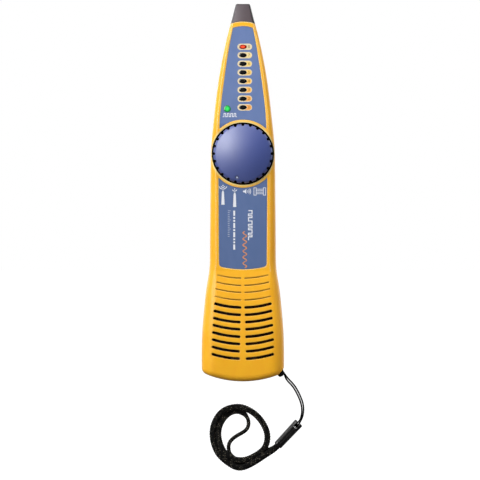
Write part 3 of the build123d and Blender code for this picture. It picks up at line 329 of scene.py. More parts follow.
def overlay_film():
    return moulded(
        "blue_overlay_film", srgb(81, 110, 166), rough=0.56, ior=1.6, grain=0.16,
        grain_scale=3400.0, vary=0.06, spec=0.8, round_mm=0.12, tint=srgb(95, 119, 174),
        # painted shade: the overlays darker towards the bottom, and painted shade in the gaps
        # round their edges and prints
        fade=dict(low=-62.0, high=60.0, low_tone=(0.76, 0.80, 0.80, 1.0),
                  high_tone=(1.0, 1.0, 1.0, 1.0)),
        grooves=dict(tone=srgb(30, 36, 52), reach=0.9, span=(0.25, 0.9)))


def dial_plastic():
    return moulded(
        "blue_dial_plastic", srgb(20, 58, 150), rough=0.585, ior=1.95, grain=0.16,
        grain_scale=2800.0, vary=0.05, spec=1.0, round_mm=0.22,
        # painted highlight, broken into patches, on the rounded edges; painted shade in the
        # grip notches
        edge_sheen_and_scuffs=dict(tone=srgb(150, 158, 196), amount=0.35),
        grooves=dict(tone=srgb(8, 9, 16), reach=1.6, span=(0.25, 0.85)),
        dome=dict(radius=19.4, lean_x=0.46, lean_z=0.46))


def tip_plastic():
    return moulded(
        "grey_tip_plastic", srgb(98, 88, 93), rough=0.46, grain=0.14, vary=0.06, round_mm=1.0,
        # painted shade on the bevels that look right, left and up, and in the grooves
        flanks=dict(dark=srgb(30, 26, 29), mid=srgb(84, 80, 84)),
        dome=dict(radius=8.0, lean_x=0.36, lean_z=0.0),
        grooves=dict(tone=srgb(20, 18, 20), reach=1.2, span=(0.3, 0.9)))


def black_nylon():
    return moulded(
        "black_nylon", srgb(6, 5, 6), rough=0.27, grain=0.14, grain_scale=2200.0, vary=0.12,
        # painted highlight, broken into patches, on the rounded edges
        spec=0.38, round_mm=0.25, edge_sheen_and_scuffs=dict(tone=srgb(58, 56, 55), amount=0.18))


# ---------------------------------------------------------------------------
# Metals, electronics, speaker and soft parts
# ---------------------------------------------------------------------------
def metal(name, base, rough, brushed=(1.0, 1.0, 14.0)):
    """Worked metal: fine directional marks, uneven polish."""
    m = Material(name)
    marks = m.noise(scale=900.0, detail=4.0, roughness=0.65, stretch=brushed)
    cloud = m.noise(scale=220.0, detail=3.0, roughness=0.6)
    m.set(Base_Color=m.mottle(cloud, scaled(base, 0.86), base))
    m.set(Roughness=m.remap(m.weighted(marks, 0.7, cloud, 0.3), span=(0.35, 0.65),
                            to=(rough - 0.07, rough + 0.12)))
    m.relief(marks, strength=0.10, depth=0.00005)
    m.set(Metallic=1.0)
    return m.data


def copper_winding():
    """Close turns of enamelled wire."""
    m = Material("enamelled_copper")
    turns = m.wave(m.place, Scale=2600.0, Distortion=0.4)
    m.set(Base_Color=m.mix(turns, srgb(150, 74, 34), srgb(222, 132, 72)))
    m.relief(turns, strength=0.5, depth=0.0001)
    m.set(Metallic=0.9, Roughness=0.3)
    return m.data


def circuit_board():
    """Green resist with copper tracks and bare pads."""
    m = Material("solder_resist_board")
    place = m.split(m.place)
    brick = m.node("ShaderNodeTexBrick", {
        "Scale": 260.0, "Mortar Size": 0.035, "Color1": (0, 0, 0, 1),
        "Color2": (0.25, 0.25, 0.25, 1), "Mortar": (1, 1, 1, 1)})
    board_plane = m.node("ShaderNodeCombineXYZ", {0: place["X"], 1: place["Z"]}).outputs[0]
    m.feed(brick.inputs["Vector"], board_plane)
    pads = m.remap(m.voronoi(scale=420.0, vector=board_plane), span=(0.16, 0.12))
    tracks = m.mix(brick.outputs["Color"], srgb(22, 84, 46), srgb(44, 122, 62))
    m.set(Base_Color=m.mix(pads, tracks, srgb(214, 190, 120)), Metallic=pads)
    m.relief(m.add(brick.outputs["Fac"], pads), strength=0.35, depth=0.00006)
    m.set(Roughness=m.remap(m.noise(scale=300.0), to=(0.22, 0.38)))
    return m.data


def chip_epoxy():
    m = Material("chip_epoxy")
    specks = m.noise(scale=1500.0, detail=4.0, roughness=0.7)
    m.set(Base_Color=m.mottle(specks, srgb(24, 24, 26), srgb(42, 42, 44), span=(0.35, 0.65)))
    m.relief(m.noise(scale=5000.0, detail=2.0), strength=0.3, depth=0.00005)
    m.set(Roughness=0.55)
    return m.data


def diode_epoxy():
    m = Material("diode_epoxy")
    m.set(Base_Color=m.mottle(m.noise(scale=700.0), srgb(236, 232, 216), srgb(246, 244, 236),
                              span=(0.35, 0.65)))
    m.set(Roughness=m.remap(m.noise(scale=900.0), to=(0.2, 0.3)))
    m.relief(m.noise(scale=3200.0), strength=0.08, depth=0.00005)
    m.set(Subsurface_Weight=0.3, Subsurface_Scale=0.001)
    return m.data


def paper_cone():
    """Paper fibres and faint ribs round the speaker centre."""
    m = Material("pressed_paper_cone")
    centred = m.node("ShaderNodeMapping", {"Location": (0.0, 0.0, 0.1185), "Vector": m.place})
    radius = m.vector_math("LENGTH", centred.outputs[0])
    ribs = m.math("SINE", m.multiply(radius, 4200.0))
    fibres = m.noise(scale=1400.0, detail=5.0, roughness=0.7, distortion=1.5)
    m.set(Base_Color=m.mottle(fibres, srgb(34, 33, 32), srgb(62, 60, 56)))
    m.relief(m.add(m.multiply(ribs, 0.3), fibres), strength=0.5, depth=0.00015)
    m.set(Roughness=0.85)
    return m.data


def sintered_magnet():
    m = Material("sintered_magnet")
    specks = m.noise(scale=1200.0, detail=5.0, roughness=0.7)
    m.set(Base_Color=m.mottle(specks, srgb(70, 70, 74), srgb(104, 104, 108)))
    m.relief(m.noise(scale=2600.0, detail=4.0), strength=0.3, depth=0.0001)
    m.set(Metallic=0.6, Roughness=0.5)
    return m.data


def closed_cell_foam():
    m = Material("closed_cell_foam")
    cells = m.voronoi(scale=2400.0, vector=m.place)
    m.set(Base_Color=m.mottle(cells, srgb(40, 40, 44), srgb(74, 74, 78), span=(0.0, 0.6)))
    m.relief(cells, strength=0.7, depth=0.0003)
    m.set(Roughness=0.92)
    return m.data


def acoustic_cloth():
    """Plain weave behind the grille."""
    m = Material("acoustic_cloth")
    place = m.split(m.place)
    threads = 14000.0  # radians per metre
    weave = m.multiply(m.math("SINE", m.multiply(place["X"], threads)),
                       m.math("SINE", m.multiply(place["Z"], threads)))
    m.set(Base_Color=m.mottle(weave, srgb(6, 6, 7), srgb(20, 19, 19), span=(-1.0, 1.0)))
    m.relief(weave, strength=0.6, depth=0.0001)
    m.set(Roughness=0.9)
    return m.data


def dial_felt():
    """Felt washer under the dial."""
    m = Material("dial_felt")
    hair = m.noise(scale=1900.0, detail=5.0, roughness=0.75, distortion=1.2)
    m.set(Base_Color=m.mottle(hair, srgb(7, 6, 5), srgb(24, 20, 15)))
    m.relief(hair, strength=0.7, depth=0.0002)
    m.set(Roughness=0.95, Specular_IOR_Level=0.15)
    return m.data


def battery_sleeve():
    """Printed foil, dark below and bare metal above."""
    m = Material("battery_sleeve")
    band = m.remap(m.split(m.place)["Z"], span=(-0.1102, -0.1098))
    scuff = m.remap(m.noise(scale=500.0, detail=5.0, roughness=0.7, stretch=(1, 1, 0.2)),
                    span=(0.35, 0.65))
    m.set(Base_Color=m.mix(band, m.mix(scuff, srgb(30, 30, 34), srgb(44, 44, 50)),
                           m.mix(scuff, srgb(196, 150, 70), srgb(214, 170, 90))))
    m.set(Metallic=m.remap(band, span=(0, 1), to=(0.25, 0.85)))
    m.set(Roughness=m.remap(m.noise(scale=600.0), to=(0.22, 0.36)))
    m.relief(m.noise(scale=900.0), strength=0.06, depth=0.0001)
    return m.data


def vinyl(name, base):
    """Flexible wire insulation."""
    m = Material(name)
    m.set(Base_Color=m.mottle(m.noise(scale=500.0), scaled(base, 0.85), base))
    m.set(Roughness=m.remap(m.noise(scale=900.0), to=(0.3, 0.45)))
    m.relief(m.noise(scale=2000.0, detail=2.0), strength=0.15, depth=0.0001)
    return m.data


# ---------------------------------------------------------------------------
# Inks, lenses and yarns
# ---------------------------------------------------------------------------
def ink(name, base):
    """Screen-printed ink: thin, matte, with slightly uneven cover."""
    m = Material(name)
    cover = m.noise(scale=1900.0, detail=4.0, roughness=0.6)
    m.set(Base_Color=m.mottle(cover, scaled(base, 0.92), base))
    m.set(Roughness=m.remap(m.noise(scale=700.0), to=(0.45, 0.6)))
    m.relief(m.noise(scale=3600.0, detail=2.0), strength=0.10, depth=0.00006)
    return m.data


def window_fill():
    """Ink from orange at the low end of the scale to pale cream at the top."""
    m = Material("window_scale_print")
    height = m.remap(m.split(m.place)["Z"], span=(0.0335, 0.0715))
    tone = m.ramp(height, [(0.0, srgb(240, 158, 72)), (0.35, srgb(246, 186, 84)),
                           (0.7, srgb(240, 210, 120)), (1.0, srgb(226, 214, 180))])
    m.set(Base_Color=m.mottle(m.noise(scale=1900.0, detail=4.0), tone, srgb(200, 150, 80),
                              to=(0.0, 0.12)))
    m.set(Roughness=0.5)
    m.relief(m.noise(scale=3600.0, detail=2.0), strength=0.10, depth=0.00006)
    return m.data


def lens(name, core, rim, glow=None, strength=0.0, edge=0.08):
    """Moulded light guide: lit or dark core, darker rim, glossy dome. Edge is the share
    of the glow that reaches the rim."""
    m = Material(name)
    radius = m.attribute("rim")
    shade = m.ramp(radius, [(0.0, core), (0.38, core), (0.66, rim), (1.0, scaled(rim, 0.45))])
    specks = m.noise(scale=2200.0)
    m.set(Base_Color=m.mottle(specks, shade, rim, to=(0.0, 0.12)))
    m.set(Roughness=m.remap(m.noise(scale=900.0), to=(0.08, 0.16)))
    m.relief(m.noise(scale=1500.0, detail=2.0), strength=0.03, depth=0.0001)
    m.set(Coat_Weight=0.6, Coat_Roughness=0.05)
    if glow:
        light = m.ramp(radius, [(0.0, glow), (0.36, scaled(glow, 0.8)),
                                (0.66, scaled(glow, edge)), (1.0, scaled(glow, edge * 0.3))])
        m.set(Emission_Color=light, Emission_Strength=strength)
    return m.data


def yarn(name, base, light, shine, spec):
    """Twisted synthetic yarn: fine filaments along each strand, fuzz, and a painted highlight
    on the crests.
    """
    m = Material(name)
    along = m.node("ShaderNodeUVMap", {}, uv_map="yarn").outputs[0]
    slanted = m.node("ShaderNodeMapping",
                     {"Rotation": (0.0, 0.0, math.radians(24.0)), "Vector": along})
    filaments = m.wave(slanted.outputs[0], Scale=2.6, Distortion=0.8, Detail=2.0)
    fuzz = m.noise(scale=2600.0, detail=4.0, roughness=0.7)
    patches = m.noise(scale=420.0, detail=2.0, roughness=0.6)
    lit = m.multiply(filaments, m.remap(fuzz, to=(0.3, 1.0)))
    lit = m.multiply(lit, m.remap(patches, span=(0.35, 0.65), to=(0.35, 1.0)))
    crest = m.attribute("crest")
    # painted highlight: pale glints on the crests where a strand rides over the others
    crest_highlight = m.multiply(m.remap(crest, span=(0.62, 0.90)),
                        m.remap(m.noise(scale=470.0, detail=1.0), span=(0.50, 0.60)))
    m.set(Base_Color=m.mix(crest_highlight, m.mix(lit, base, light), shine))
    m.set(Roughness=m.remap(fuzz, to=(0.42, 0.65)))
    m.relief(m.add(filaments, m.multiply(fuzz, 0.5)), strength=0.25, depth=0.00010)
    m.set(Sheen_Weight=0.0, Sheen_Roughness=0.4, Specular_IOR_Level=spec)
    return m.data


def core_yarn():
    m = Material("braid_core_yarn")
    m.set(Base_Color=m.mix(m.noise(scale=1500.0), srgb(7, 7, 7), srgb(14, 13, 12)),
          Roughness=0.9)
    m.relief(m.noise(scale=2500.0), strength=0.4, depth=0.0001)
    return m.data


MATERIALS = {
    "yellow": yellow_case(),
    "label": overlay_film(),
    "knob": dial_plastic(),
    "tip": tip_plastic(),
    "nylon": black_nylon(),
    "switch": moulded("switch_plastic", srgb(28, 28, 30), rough=0.45, grain=0.15, vary=0.1,
                      round_mm=0.1),
    "shaft": moulded("white_acetal", srgb(226, 222, 212), rough=0.35, grain=0.08, vary=0.03,
                     subsurface=0.1, round_mm=0.1),
    "snap": moulded("snap_vinyl", srgb(22, 22, 24), rough=0.38, grain=0.2,
                    grain_scale=1800.0, vary=0.1, round_mm=0.15),
    "steel": metal("zinc_plated_steel", srgb(196, 198, 200), rough=0.30),
    "black_steel": metal("blackened_steel", srgb(38, 37, 38), rough=0.34),
    "spring": metal("spring_steel_strip", srgb(176, 178, 182), rough=0.26,
                    brushed=(14.0, 1.0, 1.0)),
    "brass": metal("brass_rod_turned", srgb(214, 176, 96), rough=0.24,
                   brushed=(1.0, 1.0, 20.0)),
    "nickel": metal("nickel_contact", srgb(206, 202, 190), rough=0.22),
    "speaker": metal("pressed_speaker_steel", srgb(120, 122, 124), rough=0.42,
                     brushed=(6.0, 1.0, 6.0)),
    "copper": copper_winding(),
    "pcb": circuit_board(),
    "chip": chip_epoxy(),
    "led_body": diode_epoxy(),
    "cone": paper_cone(),
    "magnet": sintered_magnet(),
    "foam": closed_cell_foam(),
    "cloth": acoustic_cloth(),
    "felt": dial_felt(),
    "battery": battery_sleeve(),
    "wire_red": vinyl("red_insulation", srgb(188, 34, 30)),
    "wire_black": vinyl("black_insulation", srgb(26, 26, 28)),
    "white": ink("white_print", srgb(236, 239, 246)),
    "soft_white": ink("pale_print", srgb(176, 186, 208)),
    "dot": ink("pointer_print", srgb(166, 178, 206)),
    "cream": ink("cream_print", srgb(234, 216, 178)),
    "orange": ink("orange_print", srgb(226, 150, 84)),
    "brown": ink("numeral_print", srgb(150, 112, 48)),
    "fill": window_fill(),
    "lens_red": lens("red_lens_lit", core=srgb(232, 60, 34), rim=srgb(140, 12, 9),
                     glow=srgb(255, 96, 50), strength=0.72),
    "lens_dark": lens("smoked_lens", core=srgb(22, 20, 19), rim=srgb(6, 5, 5)),
    "lens_green": lens("green_lens_lit", core=srgb(40, 190, 80), rim=srgb(30, 150, 66),
                       glow=srgb(70, 225, 110), strength=0.62, edge=0.35),
    # shine is the painted highlight on the strand crests
    "braid": yarn("black_braid_yarn", base=srgb(2, 2, 2), light=srgb(14, 13, 11),
                  shine=srgb(138, 131, 116), spec=0.16),
    "cord": yarn("black_cord_yarn", base=srgb(2, 2, 3), light=srgb(12, 12, 13),
                 shine=srgb(90, 90, 92), spec=0.08),
    "core": core_yarn(),
}

# CAD part: material
FINISH = {
    "front_housing": "yellow", "rear_housing": "yellow", "battery_door": "yellow",
    "probe_tip": "tip", "upper_label": "label", "lower_label": "label", "dial_knob": "knob",
    "pointer_dot": "dot", "dial_seal": "felt", "pickup_antenna": "brass",
    "antenna_lead": "copper", "main_pcb": "pcb", "pcb_screws": "steel",
    "signal_leds": "led_body", "sync_led": "led_body", "processor_chip": "chip",
    "amplifier_chip": "chip", "crystal_can": "nickel", "switch_shaft": "shaft",
    "switch_base": "switch", "switch_cover": "spring", "detent_spring": "spring",
    "speaker_frame": "speaker", "speaker_cone": "cone", "voice_coil": "copper",
    "speaker_magnet": "magnet", "speaker_gasket": "foam", "grille_cloth": "cloth",
    "speaker_leads": "wire_red", "battery": "battery", "battery_terminals": "nickel",
    "battery_snap": "snap", "battery_lead_red": "wire_red",
    "battery_lead_black": "wire_black", "battery_pad": "foam", "case_screws": "steel",
    "tip_screw": "steel", "strap_anchor": "nylon", "strap_pin": "steel",
    "coupler_body": "nylon", "coupler_bar": "black_steel", "led_windows": "lens_dark",
    "led_window_red": "lens_red", "sync_window": "lens_green", "thin_cord": "cord",
    "braided_cord": "braid",
}
for part, finish in FINISH.items():
    ob = NODES[part]
    if not ob.material_slots:
        ob.data.materials.append(MATERIALS[finish])
    for material_slot in ob.material_slots:
        material_slot.material = MATERIALS[finish]


# ---------------------------------------------------------------------------
# Mesh tools
# ---------------------------------------------------------------------------
FACE_Y = -29.5       # front of the case below the knee
KNEE_Z = 20.0        # the face leans back above this height
FACE_SLOPE = 0.1475
LABEL_SINK = 0.03    # depth of the overlays below the face


def face_y(z):
    """Front of the case at height z."""
    return FACE_Y + max(0.0, z - KNEE_Z) * FACE_SLOPE


def label_y(z):
    """Front of the overlays at height z."""
    return face_y(z) + LABEL_SINK


def full_turn(count):
    return np.linspace(0, 2 * math.pi, count, endpoint=False)


def bridge(first, second):
    """Quads between two closed rings of vertex numbers."""
    count = len(first)
    return [[first[i], second[i], second[(i + 1) % count], first[(i + 1) % count]]
            for i in range(count)]


def face_outwards(mesh, triangulate=False):
    bm = bmesh.new()
    bm.from_mesh(mesh)
    bmesh.ops.recalc_face_normals(bm, faces=bm.faces)
    if triangulate:
        bmesh.ops.triangulate(bm, faces=[f for f in bm.faces if len(f.verts) > 4])
    bm.to_mesh(mesh)
    bm.free()


def add_object(name, mesh, material, body, replaced=None):
    mesh.materials.append(MATERIALS[material])
    ob = bpy.data.objects.new(name, mesh)
    bpy.context.scene.collection.objects.link(ob)
    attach(ob, body)
    if replaced:
        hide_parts(replaced)


class Print:
    """Shapes of ink that stand a few hundredths of a millimetre on the overlays."""

    def __init__(self, height, sink=0.02):
        self.vertices, self.faces = [], []
        self.height, self.sink = height, sink

    def point(self, x, z, height):
        self.vertices.append((x * MM, (label_y(z) - height) * MM, z * MM))
        return len(self.vertices) - 1

    def fill(self, outline):
        front = [self.point(x, z, self.height) for x, z in outline]
        back = [self.point(x, z, -self.sink) for x, z in outline]
        self.faces += [front, back[::-1], *bridge(front, back)]

    def strip(self, left, right, closed=False):
        """Band between two outlines with paired points."""
        rings = [(self.point(*a, self.height), self.point(*b, self.height),
                  self.point(*b, -self.sink), self.point(*a, -self.sink))
                 for a, b in zip(left, right)]
        followers = rings[1:] + rings[:1] if closed else rings[1:]
        for p, q in zip(rings, followers):
            for k in range(4):
                self.faces.append([p[k], p[(k + 1) % 4], q[(k + 1) % 4], q[k]])
        if not closed:
            self.faces += [rings[0][::-1], rings[-1]]

    def line(self, points, width, closed=False):
        """Line with mitred corners."""
        points = [Vector(p) for p in points]
        last = len(points) - 1
        left, right = [], []
        for i, here in enumerate(points):
            if closed:
                before, after = here - points[i - 1], points[(i + 1) % (last + 1)] - here
            else:
                before = here - points[max(0, i - 1)]
                after = points[min(last, i + 1)] - here
            arriving = (before if before.length > 1e-9 else after).normalized()
            leaving = after.normalized() if after.length > 1e-9 else arriving
            normal = Vector((-arriving.y, arriving.x))
            mitre = (normal + Vector((-leaving.y, leaving.x))).normalized()
            reach = width / 2 / max(0.35, mitre.dot(normal))
            left.append(tuple(here + mitre * reach))
            right.append(tuple(here - mitre * reach))
        self.strip(left, right, closed)

    def disc(self, x, z, radius):
        self.fill([(x + radius * math.cos(t), z + radius * math.sin(t)) for t in full_turn(28)])

    def arc(self, x, z, radius, start, end, width):
        """Arc between two angles in degrees."""
        angles = [math.radians(a) for a in np.linspace(start, end, 22)]
        self.line([(x + radius * math.cos(t), z + radius * math.sin(t)) for t in angles], width)

    def text(self, body, x, z, size):
        """Text centred at x, z."""
        curve = bpy.data.curves.new("numeral", "FONT")
        curve.body = body
        curve.align_x = "CENTER"
        curve.align_y = "CENTER"
        curve.resolution_u = 6
        curve.extrude = 0.05
        ob = bpy.data.objects.new("numeral", curve)
        bpy.context.scene.collection.objects.link(ob)
        bpy.context.view_layer.update()
        bm = bmesh.new()
        bm.from_mesh(ob.to_mesh())
        bmesh.ops.remove_doubles(bm, verts=bm.verts, dist=1e-4)
        start = len(self.vertices)
        for v in bm.verts:
            self.point(x + v.co.x * size, z + v.co.y * size,
                       self.height if v.co.z > 0 else -self.sink)
        self.faces += [[start + v.index for v in f.verts] for f in bm.faces]
        bm.free()
        ob.to_mesh_clear()
        bpy.data.objects.remove(ob)
        bpy.data.curves.remove(curve)

    def make(self, name, material):
        mesh = bpy.data.meshes.new(name)
        mesh.from_pydata(self.vertices, [], self.faces)
        face_outwards(mesh, triangulate=True)
        add_object(name, mesh, material, "housing")


# ---------------------------------------------------------------------------
# Upper overlay: signal scale and pulse mark
# ---------------------------------------------------------------------------
LED_Z = [70.7, 65.1, 59.4, 53.7, 47.9, 42.1, 36.3, 30.5]
LED_WIDTH, LED_HEIGHT = 5.07, 2.9
PILL_LEFT, PILL_RIGHT, PILL_RADIUS = -3.6, 6.1, 2.12
PILL_BORDER = 0.56


def pill_reach(cosine, sine):
    """Distance from the lens centre to the pill outline, found by halving."""
    low, high = 0.0, 12.0
    for _ in range(40):
        middle = (low + high) / 2
        x, z = middle * cosine, middle * sine
        spine_x = min(max(x, PILL_LEFT + PILL_RADIUS), PILL_RIGHT - PILL_RADIUS)
        if (x - spine_x) ** 2 + z ** 2 < PILL_RADIUS ** 2:
            low = middle
        else:
            high = middle
    return low


def window_frames():
    """A pill round each window, with a hole for the lens."""
    gap = 0.05
    frames = Print(height=0.035)
    for z in LED_Z:
        inner, outer = [], []
        for t in full_turn(40):
            cosine, sine = math.cos(t), math.sin(t)
            inner.append(((LED_WIDTH / 2 + gap) * cosine, z + (LED_HEIGHT / 2 + gap) * sine))
            reach = pill_reach(cosine, sine)
            outer.append((reach * cosine, z + reach * sine))
        frames.strip(outer, inner, closed=True)
    frames.make("window_frame_print", "cream")


def numeral_fields():
    """Filled fields, round at the right and wrapped round the window at the left."""
    radius = PILL_RADIUS - PILL_BORDER
    centre_x = PILL_RIGHT - PILL_BORDER - radius
    half_width, half_height = LED_WIDTH / 2 + 0.34, LED_HEIGHT / 2 + 0.40
    wrap = math.asin(0.93)
    fields = Print(height=0.045)
    for z in LED_Z:
        outline = [(centre_x + radius * math.cos(t), z + radius * math.sin(t))
                   for t in np.linspace(-math.pi / 2, math.pi / 2, 14)]
        outline += [(half_width * math.cos(t), z + half_height * math.sin(t))
                    for t in np.linspace(wrap, -wrap, 12)]
        fields.fill(outline)
    fields.make("window_scale_print", "fill")


def numerals():
    """8 at the top down to 1."""
    digits = Print(height=0.075, sink=0.0)
    for k, z in enumerate(LED_Z):
        digits.text(str(len(LED_Z) - k), x=4.0, z=z, size=2.7)
    digits.make("window_numerals", "brown")


def pulse_mark():
    """Four pulses under the green window."""
    left, low, high = -13.3, 24.3, 26.5
    lead, pulse, pitch, tail = 0.9, 1.1, 2.2, 0.7
    points = [(left, low)]
    for k in range(4):
        rise = left + lead + k * pitch
        fall = rise + pulse
        points += [(rise, low), (rise, high), (fall, high), (fall, low)]
    points.append((fall + tail, low))
    mark = Print(height=0.05)
    mark.line(points, width=0.42)
    mark.make("pulse_mark_print", "white")


# ---------------------------------------------------------------------------
# Lower overlay: selector icons and tone marks
# ---------------------------------------------------------------------------
# half width mm, distance below the top as a share of the height
WAND_PROFILE = [(1.08, 1.0), (0.80, 0.33), (0.74, 0.13), (0.36, 0.0)]


def draw_wand(icons, x, top, height):
    right = [(x + half, top - height * share) for half, share in WAND_PROFILE]
    left = [(x - half, top - height * share) for half, share in WAND_PROFILE]
    icons.fill([left[0], *right, *left[:0:-1]])


def draw_wand_with_waves(icons):
    draw_wand(icons, x=-13.1, top=-24.2, height=9.3)
    icons.disc(-13.1, -20.9, radius=0.42)
    icons.arc(-13.1, -20.7, radius=1.42, start=205, end=335, width=0.45)
    icons.arc(-13.1, -20.5, radius=2.75, start=200, end=340, width=0.50)


def draw_wand_with_one_wave(icons):
    draw_wand(icons, x=-5.4, top=-25.5, height=9.5)
    icons.disc(-5.4, -23.2, radius=0.40)
    icons.arc(-5.4, -22.9, radius=1.65, start=205, end=335, width=0.48)


def draw_loudspeaker(icons):
    icons.fill([(0.1, -25.35), (1.0, -25.35), (2.25, -26.45),
                (2.25, -23.15), (1.0, -24.25), (0.1, -24.25)])
    for radius in (1.15, 2.05, 2.95):
        icons.arc(2.15, -24.8, radius, start=-38, end=38, width=0.40)


def draw_wire_map(icons):
    """Two terminal blocks joined by four wires."""
    half, bottom, top = 0.75, -27.2, -22.4
    for x in (8.0, 14.2):
        icons.line([(x - half, bottom), (x + half, bottom), (x + half, top), (x - half, top)],
                   width=0.38, closed=True)
    for z in (-23.3, -24.3, -25.3, -26.3):
        icons.line([(8.75, z), (13.45, z)], width=0.36)


def selector_icons():
    icons = Print(height=0.05)
    draw_wand_with_waves(icons)
    draw_wand_with_one_wave(icons)
    draw_loudspeaker(icons)
    draw_wire_map(icons)
    icons.make("selector_icons_print", "white")


MARKS_TOP = -37.4  # where the square wave and the dashes start


def square_wave():
    """Square wave that runs down, with uneven steps."""
    sides = (3.7, 6.0)
    steps = [2.2, 1.2, 1.2, 2.2, 2.2, 1.2, 1.2, 1.2, 2.2, 1.2, 1.2, 2.2]
    z = MARKS_TOP
    points = [(sides[0], z)]
    for k, step in enumerate(steps):
        x = sides[(k + 1) % 2]
        points += [(x, z), (x, z - step)]
        z -= step
    wave = Print(height=0.05)
    wave.line(points, width=0.62)
    wave.make("square_wave_print", "white")


def sine_wave():
    """Sine wave that runs down."""
    top, bottom, period = -51.0, -75.0, 4.0
    middle_x, swing = 1.25, 1.18
    wave = Print(height=0.045)
    wave.line([(middle_x + swing * math.sin((z - top) / period * 2 * math.pi), z)
               for z in np.linspace(top, bottom, 150)], width=0.58)
    wave.make("sine_wave_print", "orange")


def dash_row():
    x, gap, trim = -5.7, 0.75, 0.01
    z = MARKS_TOP
    dashes = Print(height=0.05)
    for length in (3.4, 1.2, 1.2, 3.4, 1.2, 3.4, 1.2, 1.2, 3.4):
        dashes.line([(x, z), (x, z - length + trim)], width=1.25)
        z -= length + gap
    dashes.make("dash_row_print", "white")


def fine_scale():
    """Ticks, every fifth one long."""
    x, top, pitch = -9.9, -37.5, 1.2
    ticks = Print(height=0.045)
    for k in range(15):
        length = 1.9 if k % 5 == 0 else 1.15
        z = top - k * pitch
        ticks.line([(x, z), (x + length, z)], width=0.42)
    ticks.make("fine_scale_print", "soft_white")


window_frames()
numeral_fields()
numerals()
pulse_mark()
selector_icons()
square_wave()
sine_wave()
dash_row()
fine_scale()

# ---------------------------------------------------------------------------
# Light guides with domed fronts
# ---------------------------------------------------------------------------
SYNC_X, SYNC_Z, SYNC_DIAMETER = -10.3, 29.6, 4.5
GUIDE_PROUD = 0.10    # edge of the dome in front of the face
GUIDE_DOME = 0.42     # rise of the dome
DOME_RINGS = 7
GUIDE_SHOULDER = 0.9  # first straight ring behind the overlay
GUIDE_BACK = -17.25   # rear end of a guide, Y


def light_guide(x, z, width, height, vertices, faces, rims):
    """Elliptic guide whose dome follows the leaning face. Rims run 0 at the middle to 1."""
    def add(px, y, pz, rim):
        vertices.append((px * MM, y * MM, pz * MM))
        rims.append(rim)
        return len(vertices) - 1

    def ring(scale, y_at):
        points = [(x + width / 2 * scale * math.cos(t), z + height / 2 * scale * math.sin(t))
                  for t in full_turn(40)]
        return [add(px, y_at(pz), pz, scale) for px, pz in points]

    tip = add(x, face_y(z) - GUIDE_PROUD - GUIDE_DOME, z, 0.0)
    rings = []
    for k in range(1, DOME_RINGS + 1):
        angle = k / DOME_RINGS * math.pi / 2
        rise = GUIDE_DOME * math.cos(angle) ** 0.9
        rings.append(ring(math.sin(angle), lambda pz: face_y(pz) - GUIDE_PROUD - rise))
    for y in (label_y(z) + GUIDE_SHOULDER, GUIDE_BACK):
        rings.append(ring(1.0, lambda _: y))
    first = rings[0]
    faces += [[tip, a, b] for a, b in zip(first, first[1:] + first[:1])]
    for front, back in zip(rings, rings[1:]):
        faces += bridge(front, back)
    faces.append(rings[-1][::-1])


def light_guides(name, places, width, height, material, replaced):
    vertices, faces, rims = [], [], []
    for x, z in places:
        light_guide(x, z, width, height, vertices, faces, rims)
    mesh = bpy.data.meshes.new(name)
    mesh.from_pydata(vertices, [], faces)
    mesh.attributes.new("rim", "FLOAT", "POINT").data.foreach_set("value", rims)
    face_outwards(mesh)
    mesh.shade_smooth()
    add_object(name, mesh, material, "housing", replaced)


light_guides("red_light_guide", [(0.0, LED_Z[0])], LED_WIDTH, LED_HEIGHT,
             "lens_red", "led_window_red")
light_guides("dark_light_guides", [(0.0, z) for z in LED_Z[1:]], LED_WIDTH, LED_HEIGHT,
             "lens_dark", "led_windows")
light_guides("green_light_guide", [(SYNC_X, SYNC_Z)], SYNC_DIAMETER, SYNC_DIAMETER,
             "lens_green", "sync_window")

# ---------------------------------------------------------------------------
# Cord tools
# ---------------------------------------------------------------------------
Y_AXIS = np.array([0.0, 1.0, 0.0])


def run_length(points):
    """Distance along the points, from 0 at the first."""
    return np.r_[0, np.cumsum(np.linalg.norm(np.diff(points, axis=0), axis=1))]


def spline(points, step):
    """Natural cubic spline by chord length: arc lengths and points about step apart."""
    points = np.array(points, float)
    knots = run_length(points)
    count = len(knots)
    gaps = np.diff(knots)
    matrix = np.zeros((count, count))
    target = np.zeros((count, points.shape[1]))
    matrix[0, 0] = matrix[-1, -1] = 1.0
    for i in range(1, count - 1):
        before, after = gaps[i - 1], gaps[i]
        matrix[i, i - 1:i + 2] = before, 2 * (before + after), after
        target[i] = 6 * ((points[i + 1] - points[i]) / after
                         - (points[i] - points[i - 1]) / before)
    bend = np.linalg.solve(matrix, target)
    # sample three times too finely, then space the points evenly
    t = np.linspace(0, knots[-1], int(knots[-1] / step * 3) + 2)
    k = np.clip(np.searchsorted(knots, t, side="right") - 1, 0, count - 2)
    past = (t - knots[k])[:, None]
    left = (knots[k + 1] - t)[:, None]
    gap = gaps[k][:, None]
    fine = ((bend[k] * left ** 3 + bend[k + 1] * past ** 3) / (6 * gap)
            + (points[k] / gap - bend[k] * gap / 6) * left
            + (points[k + 1] / gap - bend[k + 1] * gap / 6) * past)
    length = run_length(fine)
    even = np.linspace(0, length[-1], int(round(length[-1] / step)) + 1)
    return even, np.stack([np.interp(even, length, column) for column in fine.T], axis=1)


def unit(vectors):
    return vectors / np.linalg.norm(vectors, axis=-1, keepdims=True)


def tangents(line):
    return unit(np.gradient(line, axis=0))


def smooth_step(x):
    x = np.clip(x, 0, 1)
    return x * x * (3 - 2 * x)


def section_axes(line, out):
    """Side and up directions of a strand whose back looks along out."""
    tangent = tangents(line)
    side = unit(np.cross(tangent, out))
    return side, unit(np.cross(side, tangent))


